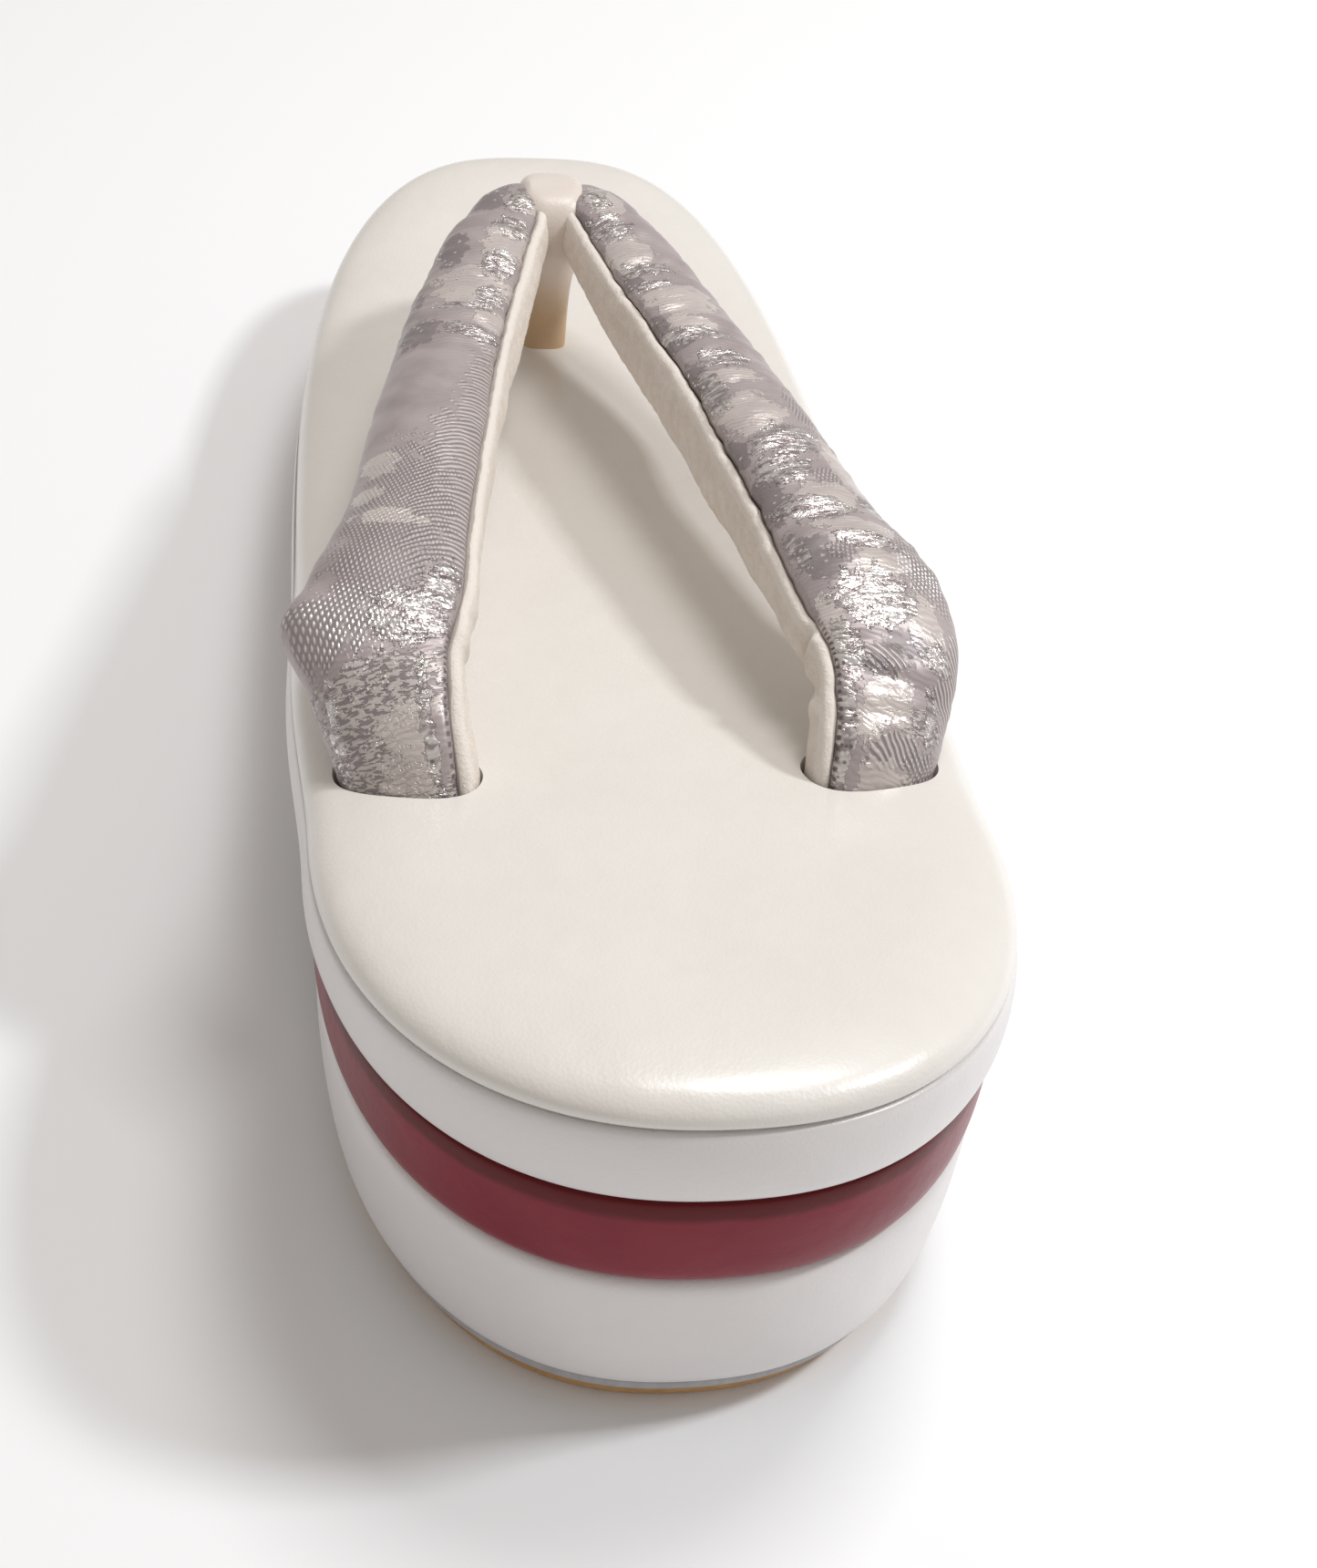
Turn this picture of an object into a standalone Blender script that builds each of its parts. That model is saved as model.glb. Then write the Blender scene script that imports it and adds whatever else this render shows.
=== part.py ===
import math

import bmesh
import bpy
import numpy as np

# Zori sandal, right foot. Metres, +Z up, +Y from heel to toe, +X to the wearer's right.
LENGTH = 0.240
GAP = 0.0003  # between pieces that touch

# Plan outline: a rounded heel, a nearly straight middle and a longer rounded toe
HEEL_HALF_WIDTH = 0.0394
HEEL_ROUND_LENGTH = 0.053
HEEL_SQUARENESS = 2.26
TOE_HALF_WIDTH = 0.0401
TOE_ROUND_START = 0.118
TOE_SQUARENESS = 2.96
MIDDLE_SWELL = 0.0011
BOW_LINEAR = -0.0033  # the centreline bows a little towards the wearer's left in the middle
BOW_SQUARE = 0.0053
HEEL_STEPS = 10
MIDDLE_STEPS = 7
TOE_STEPS = 15

# Heights over the floor at the heel and at the toe
TOP_HEEL = 0.0540
TOP_TOE = 0.0312
TOP_DIP = 0.0100
TOP_DIP_FORWARD = 0.0020
FRONT_SAG = 0.0300  # how much the layers follow the dip behind the toe
UPPER_BOTTOM = {"heel": 0.0383, "toe": 0.0175, "sag": 0.0012}
MIDDLE_BOTTOM = {"heel": 0.0248, "toe": 0.0115, "sag": -0.0012}

# Underside: heel lift and forefoot both stand on the floor
HEEL_LIFT_LENGTH = 0.062
HEEL_LIFT_THICKNESS = 0.0027
OUTSOLE_THICKNESS = 0.0017
TREAD_START = 0.135
TREAD_END = 0.195
TOE_SPRING = 0.0024

# Top cover and the rows of the layers' sides: inset from the outline, and drop or lift
COVER_THICKNESS = 0.0050
COVER_RIM = [
    {"inset": 0.0130, "drop": 0.0000},
    {"inset": 0.0088, "drop": 0.0003},
    {"inset": 0.0052, "drop": 0.0010},
    {"inset": 0.0025, "drop": 0.0021},
    {"inset": 0.0010, "drop": 0.0036},
    {"inset": 0.0012, "drop": 0.0045},
    {"inset": 0.0022, "drop": COVER_THICKNESS},
]
UPPER_RIM = [
    {"inset": 0.0023, "drop": COVER_THICKNESS + GAP},
    {"inset": 0.0008, "drop": 0.0060},
    {"inset": 0.0001, "drop": 0.0078},
    {"inset": 0.0000, "drop": 0.0105},
]
UPPER_FOOT = [
    {"inset": 0.0003, "lift": 0.0014},
    {"inset": 0.0011, "lift": 0.0002},
    {"inset": 0.0022, "lift": 0.0000},
]
MIDDLE_SIDE = [
    {"inset": 0.0016, "share": 1.00},
    {"inset": 0.0011, "share": 0.86},
    {"inset": 0.0010, "share": 0.50},
    {"inset": 0.0014, "share": 0.16},
    {"inset": 0.0022, "share": 0.00},
]
LOWER_SIDE = [
    {"inset": 0.0036, "share": 1.00},
    {"inset": 0.0021, "share": 0.97},
    {"inset": 0.0015, "share": 0.88},
    {"inset": 0.0017, "share": 0.50},
    {"inset": 0.0027, "share": 0.10},
    {"inset": 0.0038, "share": 0.00},
]
OUTSOLE_INSET = 0.0040
OUTSOLE_BOTTOM_INSET = 0.0046
HEEL_LIFT_INSET = 0.0052
HEEL_LIFT_BOTTOM_INSET = 0.0060

# Straps: both arms mirror each other about a line from the front hole to midway between the rear holes
STRAP_LINE_FRONT = -0.0008
STRAP_LINE_REAR = -0.0006
STRAP_LINE_REAR_ALONG = 0.057
STRAP_WALL = 0.0014
STRAP_SQUARENESS = 2.3
ARM_STEPS = 32
WALL_STEPS = 12
INNER_SEAM_ANGLE = 141.0
OUTER_SEAM_ANGLE = -48.0
# along: from the heel; out: from the strap line; rise: over the footbed; turn: 0 faces sideways, -90 to the heel
ARM_ROWS = [
    {"along": 0.1840, "out": 0.0018, "rise": 0.0168, "wide": 0.0080, "thick": 0.0078, "turn": 60, "lean": 48},
    {"along": 0.1805, "out": 0.0044, "rise": 0.0206, "wide": 0.0106, "thick": 0.0092, "turn": 42, "lean": 74},
    {"along": 0.1710, "out": 0.0083, "rise": 0.0202, "wide": 0.0136, "thick": 0.0110, "turn": 24, "lean": 84},
    {"along": 0.1520, "out": 0.0138, "rise": 0.0178, "wide": 0.0160, "thick": 0.0130, "turn": 14, "lean": 84},
    {"along": 0.1310, "out": 0.0184, "rise": 0.0164, "wide": 0.0160, "thick": 0.0146, "turn": 8, "lean": 86},
    {"along": 0.1100, "out": 0.0221, "rise": 0.0147, "wide": 0.0164, "thick": 0.0156, "turn": -2, "lean": 88},
    {"along": 0.0920, "out": 0.0252, "rise": 0.0132, "wide": 0.0172, "thick": 0.0146, "turn": -24, "lean": 88},
    {"along": 0.0790, "out": 0.0280, "rise": 0.0116, "wide": 0.0198, "thick": 0.0126, "turn": -56, "lean": 84},
    {"along": 0.0710, "out": 0.0290, "rise": 0.0090, "wide": 0.0184, "thick": 0.0106, "turn": -73, "lean": 60},
    {"along": 0.0655, "out": 0.0280, "rise": 0.0052, "wide": 0.0172, "thick": 0.0100, "turn": -76, "lean": 30},
    {"along": 0.0615, "out": 0.0268, "rise": 0.0008, "wide": 0.0162, "thick": 0.0100, "turn": -77, "lean": 10},
    {"along": 0.0590, "out": 0.0260, "rise": -0.0042, "wide": 0.0150, "thick": 0.0098, "turn": -78, "lean": 2},
    {"along": 0.0580, "out": 0.0256, "rise": -0.0086, "wide": 0.0146, "thick": 0.0098, "turn": -78, "lean": 0},
]

# Front loop round the joint of the arms, and its post down into the front hole
POST_ALONG = 0.1790
POST_DEPTH = 0.0062  # how far the post goes under the top surface
LOOP_STEPS = 7
LOOP_ROWS = [
    {"rise": -POST_DEPTH, "wide": 0.0064, "deep": 0.0044, "shift": 0.0000},
    {"rise": 0.0020, "wide": 0.0066, "deep": 0.0046, "shift": 0.0000},
    {"rise": 0.0080, "wide": 0.0068, "deep": 0.0052, "shift": 0.0003},
    {"rise": 0.0115, "wide": 0.0074, "deep": 0.0090, "shift": 0.0010},
    {"rise": 0.0150, "wide": 0.0084, "deep": 0.0136, "shift": 0.0014},
    {"rise": 0.0195, "wide": 0.0096, "deep": 0.0160, "shift": 0.0012},
    {"rise": 0.0236, "wide": 0.0100, "deep": 0.0146, "shift": 0.0008},
    {"rise": 0.0258, "wide": 0.0092, "deep": 0.0104, "shift": 0.0004},
    {"rise": 0.0266, "wide": 0.0066, "deep": 0.0056, "shift": 0.0002},
]

LOOKS = {
    "ivory_cover": {"colour": (0.80, 0.77, 0.73), "roughness": 0.38},
    "ivory_side": {"colour": (0.74, 0.72, 0.72), "roughness": 0.34},
    "burgundy": {"colour": (0.13, 0.008, 0.016), "roughness": 0.25},
    "grey_edge": {"colour": (0.42, 0.42, 0.43), "roughness": 0.45},
    "tan_leather": {"colour": (0.52, 0.34, 0.19), "roughness": 0.55},
    "brocade": {"colour": (0.60, 0.56, 0.58), "roughness": 0.40},
    "flannel": {"colour": (0.84, 0.82, 0.79), "roughness": 0.90},
    "loop_leather": {"colour": (0.78, 0.74, 0.68), "roughness": 0.40},
}


def clear_scene():
    for thing in list(bpy.data.objects):
        bpy.data.objects.remove(thing, do_unlink=True)


def material(name):
    found = bpy.data.materials.get(name)
    if found:
        return found
    made = bpy.data.materials.new(name)
    made.use_nodes = True
    shader = made.node_tree.nodes["Principled BSDF"]
    shader.inputs["Base Color"].default_value = (*LOOKS[name]["colour"], 1.0)
    shader.inputs["Roughness"].default_value = LOOKS[name]["roughness"]
    return made


def add_object(name, mesh, look):
    thing = bpy.data.objects.new(name, mesh)
    bpy.context.scene.collection.objects.link(thing)
    if look:
        mesh.materials.append(material(look))
    return thing


def solid(name, points, faces, look=None):
    """A closed mesh object with its faces turned outwards."""
    mesh = bpy.data.meshes.new(name)
    mesh.from_pydata([tuple(p) for p in points], [], faces)
    shape = bmesh.new()
    shape.from_mesh(mesh)
    bmesh.ops.remove_doubles(shape, verts=shape.verts, dist=1e-6)
    bmesh.ops.recalc_face_normals(shape, faces=shape.faces)
    shape.to_mesh(mesh)
    shape.free()
    mesh.shade_smooth()
    mesh.set_sharp_from_angle(angle=math.radians(35))
    return add_object(name, mesh, look)


def cutter(thing):
    thing.hide_render = True
    thing.display_type = "WIRE"
    return thing


def cut(thing, tool, operation="DIFFERENCE"):
    step = thing.modifiers.new(operation.lower() + "_" + tool.name, "BOOLEAN")
    step.operation = operation
    step.solver = "EXACT"
    step.object = tool


def half_outline():
    """(distance from the heel, half width) from the heel's tip round one side to the toe's tip."""
    points = []
    for i in range(HEEL_STEPS):
        angle = math.pi / 2 * i / HEEL_STEPS
        along = HEEL_ROUND_LENGTH * (1 - math.cos(angle) ** (2 / HEEL_SQUARENESS))
        points.append((along, HEEL_HALF_WIDTH * math.sin(angle) ** (2 / HEEL_SQUARENESS)))
    for i in range(MIDDLE_STEPS):
        t = i / MIDDLE_STEPS
        along = HEEL_ROUND_LENGTH + (TOE_ROUND_START - HEEL_ROUND_LENGTH) * t
        blend = 3 * t**2 - 2 * t**3
        width = HEEL_HALF_WIDTH + (TOE_HALF_WIDTH - HEEL_HALF_WIDTH) * blend
        points.append((along, width + MIDDLE_SWELL * 16 * (t * (1 - t)) ** 2))
    for i in range(TOE_STEPS + 1):
        angle = math.pi / 2 * i / TOE_STEPS
        run = (LENGTH - TOE_ROUND_START) * math.sin(angle) ** (2 / TOE_SQUARENESS)
        reach = max(math.cos(angle), 0.0) ** (2 / TOE_SQUARENESS)
        points.append((TOE_ROUND_START + run, TOE_HALF_WIDTH * reach))
    return points


def bow(along):
    t = along / LENGTH
    return BOW_LINEAR * t + BOW_SQUARE * t**2


def outline():
    """The sole's plan as a ring of points, and the outward direction at each of them."""
    side = half_outline()
    right = [(width + bow(along), along) for along, width in side]
    left = [(bow(along) - width, along) for along, width in side]
    ring = np.array(right + left[-2:0:-1])
    middle = (ring[:, 0].min() + ring[:, 0].max()) / 2
    ring[:, 0] -= middle
    step = np.roll(ring, -1, axis=0) - np.roll(ring, 1, axis=0)
    step /= np.linalg.norm(step, axis=1)[:, None]
    return ring, np.column_stack([step[:, 1], -step[:, 0]])


RING, RING_OUT = outline()


def top_height(along):
    t = np.clip(along / LENGTH, 0, 1)
    curve = 4 * TOP_DIP * t * (1 - t) - 10 * TOP_DIP_FORWARD * t * (1 - t) * (1 - 2 * t)
    return TOP_HEEL + (TOP_TOE - TOP_HEEL) * t - curve


def layer_height(along, layer):
    t = np.clip(along / LENGTH, 0, 1)
    straight = layer["heel"] + (layer["toe"] - layer["heel"]) * t
    return straight - 4 * layer["sag"] * t * (1 - t) - FRONT_SAG * t**4 * (1 - t)


def ease(t):
    t = np.clip(t, 0, 1)
    return 3 * t**2 - 2 * t**3


def base_height(along):
    """The outsole's underside: on the heel lift, down to the tread, and up at the toe."""
    seat = HEEL_LIFT_THICKNESS + GAP
    down = ease((along - HEEL_LIFT_LENGTH - 0.004) / (TREAD_START - HEEL_LIFT_LENGTH - 0.004))
    spring = np.clip((along - TREAD_END) / (LENGTH - TREAD_END), 0, 1) ** 2
    return seat * (1 - down) + TOE_SPRING * spring


def upper_bottom(along):
    return layer_height(along, UPPER_BOTTOM)


def middle_bottom(along):
    return layer_height(along, MIDDLE_BOTTOM)


def lower_bottom(along):
    return base_height(along) + OUTSOLE_THICKNESS + GAP


def ring_at(inset, height):
    """The outline moved in by inset, at the height that the function gives along the shoe."""
    flat = RING - RING_OUT * inset
    along = np.clip(flat[:, 1], 0, LENGTH)
    return np.column_stack([flat[:, 0], flat[:, 1] - LENGTH / 2, height(along)])


def layer_solid(name, rings, look):
    """Joins rings from the top down, and closes both ends with strips across the shoe."""
    count = len(RING)
    half = count // 2
    faces = []
    for level in range(len(rings) - 1):
        for i in range(count):
            j = (i + 1) % count
            upper, lower = level * count, (level + 1) * count
            faces.append((upper + i, upper + j, lower + j, lower + i))
    for start in (0, (len(rings) - 1) * count):
        for i in range(half):
            near, far = (count - i) % count, count - i - 1
            strip = [start + i, start + i + 1, start + far, start + near]
            faces.append(tuple(dict.fromkeys(strip)))
    return solid(name, np.vstack(rings), faces, look)


def top_cover():
    rings = [ring_at(r["inset"], lambda a, r=r: top_height(a) - r["drop"]) for r in COVER_RIM]
    return layer_solid("top_cover", rings, "ivory_cover")


def upper_layer():
    rings = [ring_at(r["inset"], lambda a, r=r: top_height(a) - r["drop"]) for r in UPPER_RIM]
    for row in UPPER_FOOT:
        rings.append(ring_at(row["inset"], lambda a, r=row: upper_bottom(a) + r["lift"]))
    return layer_solid("upper_layer", rings, "ivory_side")


def banded_layer(name, rows, top, bottom, look):
    rings = []
    for row in rows:
        rings.append(ring_at(row["inset"], lambda a, r=row: bottom(a) + (top(a) - bottom(a)) * r["share"]))
    return layer_solid(name, rings, look)


def middle_layer():
    def top(along):
        return upper_bottom(along) - GAP

    return banded_layer("middle_layer", MIDDLE_SIDE, top, middle_bottom, "burgundy")


def lower_layer():
    def top(along):
        return middle_bottom(along) - GAP

    return banded_layer("lower_layer", LOWER_SIDE, top, lower_bottom, "ivory_side")


def outsole():
    rings = [
        ring_at(OUTSOLE_INSET, lambda a: base_height(a) + OUTSOLE_THICKNESS),
        ring_at(OUTSOLE_INSET, lambda a: base_height(a) + OUTSOLE_THICKNESS * 0.35),
        ring_at(OUTSOLE_BOTTOM_INSET, base_height),
    ]
    return layer_solid("outsole", rings, "grey_edge")


def heel_lift():
    """A D-shaped piece under the heel, cut straight across at the front."""
    lift = layer_solid(
        "heel_lift",
        [
            ring_at(HEEL_LIFT_INSET, lambda a: 0 * a + HEEL_LIFT_THICKNESS),
            ring_at(HEEL_LIFT_INSET, lambda a: 0 * a + HEEL_LIFT_THICKNESS * 0.3),
            ring_at(HEEL_LIFT_BOTTOM_INSET, lambda a: 0 * a),
        ],
        "tan_leather",
    )
    shape = bmesh.new()
    shape.from_mesh(lift.data)
    cut_at = (0, HEEL_LIFT_LENGTH - LENGTH / 2, 0)
    everything = shape.verts[:] + shape.edges[:] + shape.faces[:]
    bmesh.ops.bisect_plane(shape, geom=everything, plane_co=cut_at, plane_no=(0, 1, 0), clear_outer=True)
    open_edges = [edge for edge in shape.edges if edge.is_boundary]
    bmesh.ops.edgeloop_fill(shape, edges=open_edges)
    bmesh.ops.recalc_face_normals(shape, faces=shape.faces)
    shape.to_mesh(lift.data)
    shape.free()
    return lift


def strap_line(along):
    share = (POST_ALONG - along) / (POST_ALONG - STRAP_LINE_REAR_ALONG)
    return STRAP_LINE_FRONT + (STRAP_LINE_REAR - STRAP_LINE_FRONT) * share


def arm_stations(side):
    """Places, directions and sizes along one arm: side is 1 for the wearer's right and -1 for the left."""
    columns = ("along", "out", "rise", "wide", "thick", "turn", "lean")
    rows = np.array([[row[c] for c in columns] for row in ARM_ROWS], float)
    place = np.column_stack(
        [
            strap_line(rows[:, 0]) + side * rows[:, 1],
            rows[:, 0] - LENGTH / 2,
            top_height(rows[:, 0]) + rows[:, 2],
        ]
    )
    values = np.column_stack([place, rows[:, 3:]])
    reach = np.concatenate([[0], np.cumsum(np.linalg.norm(np.diff(place, axis=0), axis=1))])
    slope = np.gradient(values, reach, axis=0)
    stations = []
    for distance in np.linspace(0, reach[-1], ARM_STEPS):
        i = min(int(np.searchsorted(reach, distance, side="right")) - 1, len(reach) - 2)
        span = reach[i + 1] - reach[i]
        t = (distance - reach[i]) / span
        value = (
            (2 * t**3 - 3 * t**2 + 1) * values[i]
            + (t**3 - 2 * t**2 + t) * span * slope[i]
            + (3 * t**2 - 2 * t**3) * values[i + 1]
            + (t**3 - t**2) * span * slope[i + 1]
        )
        stations.append(value)
    stations = np.array(stations)
    heading = np.gradient(stations[:, :3], axis=0)
    heading /= np.linalg.norm(heading, axis=1)[:, None]
    made = []
    for value, ahead in zip(stations, heading):
        turn, lean = math.radians(value[5]), math.radians(value[6])
        face = np.array([side * math.cos(turn) * math.cos(lean), math.sin(turn) * math.cos(lean), math.sin(lean)])
        face = face - face.dot(ahead) * ahead
        face /= np.linalg.norm(face)
        outward = np.cross(face, ahead) * side
        made.append({"place": value[:3], "face": face, "outward": outward, "wide": value[3], "thick": value[4]})
    return made


def section_point(station, angle, grow):
    """A point of the arm's oval section: 0 degrees is its outer edge and 90 the middle of the brocade."""
    power = 2 / STRAP_SQUARENESS
    turn = math.radians(angle)
    across = math.copysign(abs(math.cos(turn)) ** power, math.cos(turn)) * (station["wide"] / 2 + grow)
    up = math.copysign(abs(math.sin(turn)) ** power, math.sin(turn)) * (station["thick"] / 2 + grow)
    return station["place"] + station["outward"] * across + station["face"] * up


def swept(name, loops, look=None):
    """Joins closed loops of equal length, and closes the first and the last."""
    count = len(loops[0])
    faces = []
    for k in range(len(loops) - 1):
        for i in range(count):
            j = (i + 1) % count
            faces.append((k * count + i, k * count + j, (k + 1) * count + j, (k + 1) * count + i))
    last = (len(loops) - 1) * count
    return solid(name, np.vstack(loops), faces + end_faces(0, count) + end_faces(last, count), look)


def end_faces(start, count):
    """Quads that close a loop whose first half and second half run side by side."""
    faces = []
    for i in range(count // 2 - 1):
        faces.append((start + i, start + i + 1, start + count - 2 - i, start + count - 1 - i))
    return faces


def arm_wall(name, side, first, last, look):
    """The part of an arm's wall between two angles, as one closed strip."""
    loops = []
    for station in arm_stations(side):
        outer = [section_point(station, a, 0) for a in np.linspace(first, last, WALL_STEPS)]
        inner = [section_point(station, a, -STRAP_WALL) for a in np.linspace(last, first, WALL_STEPS)]
        loops.append(outer + inner)
    return swept(name, loops, look)


def arm_clearance(side):
    """The whole arm with the gap round it, for cutting its way through the loop and the footbed."""
    stations = arm_stations(side)
    last = dict(stations[-1])
    ahead = stations[-1]["place"] - stations[-2]["place"]
    last["place"] = last["place"] + ahead / np.linalg.norm(ahead) * GAP
    loops = []
    for station in stations[:-1] + [last]:
        loops.append([section_point(station, a, GAP) for a in np.linspace(-90, 270, 19)[:-1]])
    return cutter(swept("arm_room_" + ("right" if side > 0 else "left"), loops))


def half_space(name, side, start):
    """A block that covers everything past the strap line on the other side of an arm."""
    bpy.ops.mesh.primitive_cube_add(size=0.1)
    block = bpy.context.object
    block.name = name
    block.data.transform(block.matrix_world)
    for vertex in block.data.vertices:
        vertex.co.x += STRAP_LINE_FRONT + side * start - side * 0.05
        vertex.co.y += POST_ALONG - LENGTH / 2
        vertex.co.z += 0.05
    return cutter(block)


def straps():
    seam_gap = math.degrees(GAP / (ARM_ROWS[5]["thick"] / 2))
    arms = {}
    for word, side in (("right", 1), ("left", -1)):
        arms[word] = arm_wall("brocade_" + word, side, OUTER_SEAM_ANGLE, INNER_SEAM_ANGLE, "brocade")
        cut(arms[word], half_space("brocade_trim_" + word, side, -0.0002))
        lining = arm_wall(
            "lining_lateral" if side > 0 else "lining_medial",
            side,
            INNER_SEAM_ANGLE + seam_gap,
            360 + OUTER_SEAM_ANGLE - seam_gap,
            "flannel",
        )
        cut(lining, half_space("lining_trim_" + word, side, 0.0005))
    joined = arms["right"]
    joined.name = "strap_brocade"
    cut(joined, cutter(arms["left"]), "UNION")


def loop_section(row):
    """A rounded oblong across the post, with its long way across the shoe near the floor."""
    along = POST_ALONG + row["shift"]
    height = top_height(POST_ALONG) + row["rise"]
    points = []
    for i in range(4 * LOOP_STEPS):
        angle = 2 * math.pi * i / (4 * LOOP_STEPS)
        across = math.copysign(abs(math.cos(angle)) ** 0.7, math.cos(angle)) * row["wide"] / 2
        depth = math.copysign(abs(math.sin(angle)) ** 0.7, math.sin(angle)) * row["deep"] / 2
        points.append(np.array([STRAP_LINE_FRONT + across, along - LENGTH / 2 + depth, height]))
    return points


def round_solid(name, loops, look=None):
    """Joins round loops, and closes the first and the last with one face each."""
    count = len(loops[0])
    faces = []
    for k in range(len(loops) - 1):
        for i in range(count):
            j = (i + 1) % count
            faces.append((k * count + i, k * count + j, (k + 1) * count + j, (k + 1) * count + i))
    last = (len(loops) - 1) * count
    faces.append(tuple(range(count)))
    faces.append(tuple(range(last, last + count)))
    return solid(name, np.vstack(loops), faces, look)


def front_loop(rooms):
    loop = round_solid("front_loop", [loop_section(row) for row in LOOP_ROWS], "loop_leather")
    for room in rooms:
        cut(loop, room)
    return loop


def post_room():
    rows = []
    for row in LOOP_ROWS[:3]:
        grown = dict(row)
        grown["wide"] += 2 * GAP
        grown["deep"] += 2 * GAP
        rows.append(grown)
    rows[0]["rise"] -= GAP
    return cutter(round_solid("post_room", [loop_section(row) for row in rows]))


def main():
    clear_scene()
    cover = top_cover()
    upper = upper_layer()
    middle_layer()
    lower_layer()
    outsole()
    heel_lift()
    straps()
    rooms = [arm_clearance(1), arm_clearance(-1)]
    front_loop(rooms)
    for room in rooms + [post_room()]:
        cut(cover, room)
        cut(upper, room)


main()
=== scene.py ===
import math

import bmesh
import bpy
import numpy as np
from mathutils import Matrix, Vector
from mathutils import noise as fieldNoise


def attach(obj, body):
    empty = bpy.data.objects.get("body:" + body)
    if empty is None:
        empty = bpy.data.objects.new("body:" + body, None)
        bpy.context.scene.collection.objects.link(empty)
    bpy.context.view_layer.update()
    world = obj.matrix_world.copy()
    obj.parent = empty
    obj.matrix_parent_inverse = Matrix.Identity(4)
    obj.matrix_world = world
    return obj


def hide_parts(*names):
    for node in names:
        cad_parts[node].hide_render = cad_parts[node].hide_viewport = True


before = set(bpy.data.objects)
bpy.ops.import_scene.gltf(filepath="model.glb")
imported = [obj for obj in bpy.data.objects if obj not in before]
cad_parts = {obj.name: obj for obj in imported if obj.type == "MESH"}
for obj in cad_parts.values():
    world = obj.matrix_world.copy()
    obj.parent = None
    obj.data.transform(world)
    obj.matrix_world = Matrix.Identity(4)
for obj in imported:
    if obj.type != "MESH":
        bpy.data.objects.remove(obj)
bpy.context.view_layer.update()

# Right zori sandal, in metres: +Y from heel to toe, +X to the wearer's right

# small helpers for selecting, refining and handing over a piece


def clearSelection():
    if bpy.context.object and bpy.context.object.mode != "OBJECT":
        bpy.ops.object.mode_set(mode="OBJECT")
    bpy.ops.object.select_all(action="DESELECT")


def pick(piece):
    clearSelection()
    piece.select_set(True)
    bpy.context.view_layer.objects.active = piece


def applyAll(piece):
    pick(piece)
    for step in list(piece.modifiers):
        bpy.ops.object.modifier_apply(modifier=step.name)


def refine(piece, levels):
    step = piece.modifiers.new("fine", "SUBSURF")
    step.levels = levels
    step.render_levels = levels
    applyAll(piece)


def cutWith(piece, tool):
    step = piece.modifiers.new("hole", "BOOLEAN")
    step.operation = "DIFFERENCE"
    step.solver = "EXACT"
    step.object = tool
    applyAll(piece)


def settle(piece, nodes, look):
    piece.data.materials.clear()
    piece.data.materials.append(look)
    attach(piece, "root")
    if nodes:
        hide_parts(*nodes)


def ease(t):
    t = np.clip(t, 0, 1)
    return 3 * t**2 - 2 * t**3


# helpers for materials: a value may be a number, a colour or another node's socket


def feed(tree, socket, value):
    if isinstance(value, bpy.types.NodeSocket):
        tree.links.new(value, socket)
    else:
        socket.default_value = value


def addNode(tree, kind, inputs=None, **options):
    made = tree.nodes.new(kind)
    for key, value in options.items():
        setattr(made, key, value)
    for key, value in (inputs or {}).items():
        feed(tree, made.inputs[key], value)
    return made


def calc(tree, operation, a, b=0.0, c=0.0):
    made = tree.nodes.new("ShaderNodeMath")
    made.operation = operation
    for socket, value in zip(made.inputs, (a, b, c)):
        feed(tree, socket, value)
    return made.outputs[0]


def blendColour(tree, share, first, second, blend="MIX"):
    made = tree.nodes.new("ShaderNodeMix")
    made.data_type = "RGBA"
    made.blend_type = blend
    made.clamp_factor = True
    feed(tree, made.inputs[0], share)
    feed(tree, made.inputs[6], first)
    feed(tree, made.inputs[7], second)
    return made.outputs[2]


def blendValue(tree, share, first, second):
    made = tree.nodes.new("ShaderNodeMix")
    made.data_type = "FLOAT"
    feed(tree, made.inputs[0], share)
    feed(tree, made.inputs[2], first)
    feed(tree, made.inputs[3], second)
    return made.outputs[0]


def stepBetween(tree, value, low, high):
    made = addNode(tree, "ShaderNodeMapRange", {1: low, 2: high, 3: 0.0, 4: 1.0}, interpolation_type="SMOOTHSTEP")
    feed(tree, made.inputs[0], value)
    return made.outputs[0]


def noiseAt(tree, place, scale, detail=2.0, roughness=0.5, distortion=0.0):
    wanted = {"Vector": place, "Scale": scale, "Detail": detail, "Roughness": roughness, "Distortion": distortion}
    return addNode(tree, "ShaderNodeTexNoise", wanted).outputs["Fac"]


def cellsAt(tree, place, scale, feature="F1", randomness=1.0):
    wanted = {"Vector": place, "Scale": scale, "Randomness": randomness}
    return addNode(tree, "ShaderNodeTexVoronoi", wanted, feature=feature)


def raised(tree, height, depth, below=None):
    wanted = {"Strength": 1.0, "Distance": depth, "Height": height}
    if below is not None:
        wanted["Normal"] = below
    return addNode(tree, "ShaderNodeBump", wanted).outputs["Normal"]


def stretched(tree, place, scale, turn=0.0):
    mapping = addNode(tree, "ShaderNodeMapping", {"Vector": place, "Scale": scale, "Rotation": (0.0, 0.0, turn)})
    return mapping.outputs[0]


def colour(r, g, b):
    return (r, g, b, 1.0)


def newLook(name):
    look = bpy.data.materials.new(name)
    look.use_nodes = True
    tree = look.node_tree
    return look, tree, tree.nodes["Principled BSDF"]


def objectPlace(tree):
    return addNode(tree, "ShaderNodeTexCoord").outputs["Object"]


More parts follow.
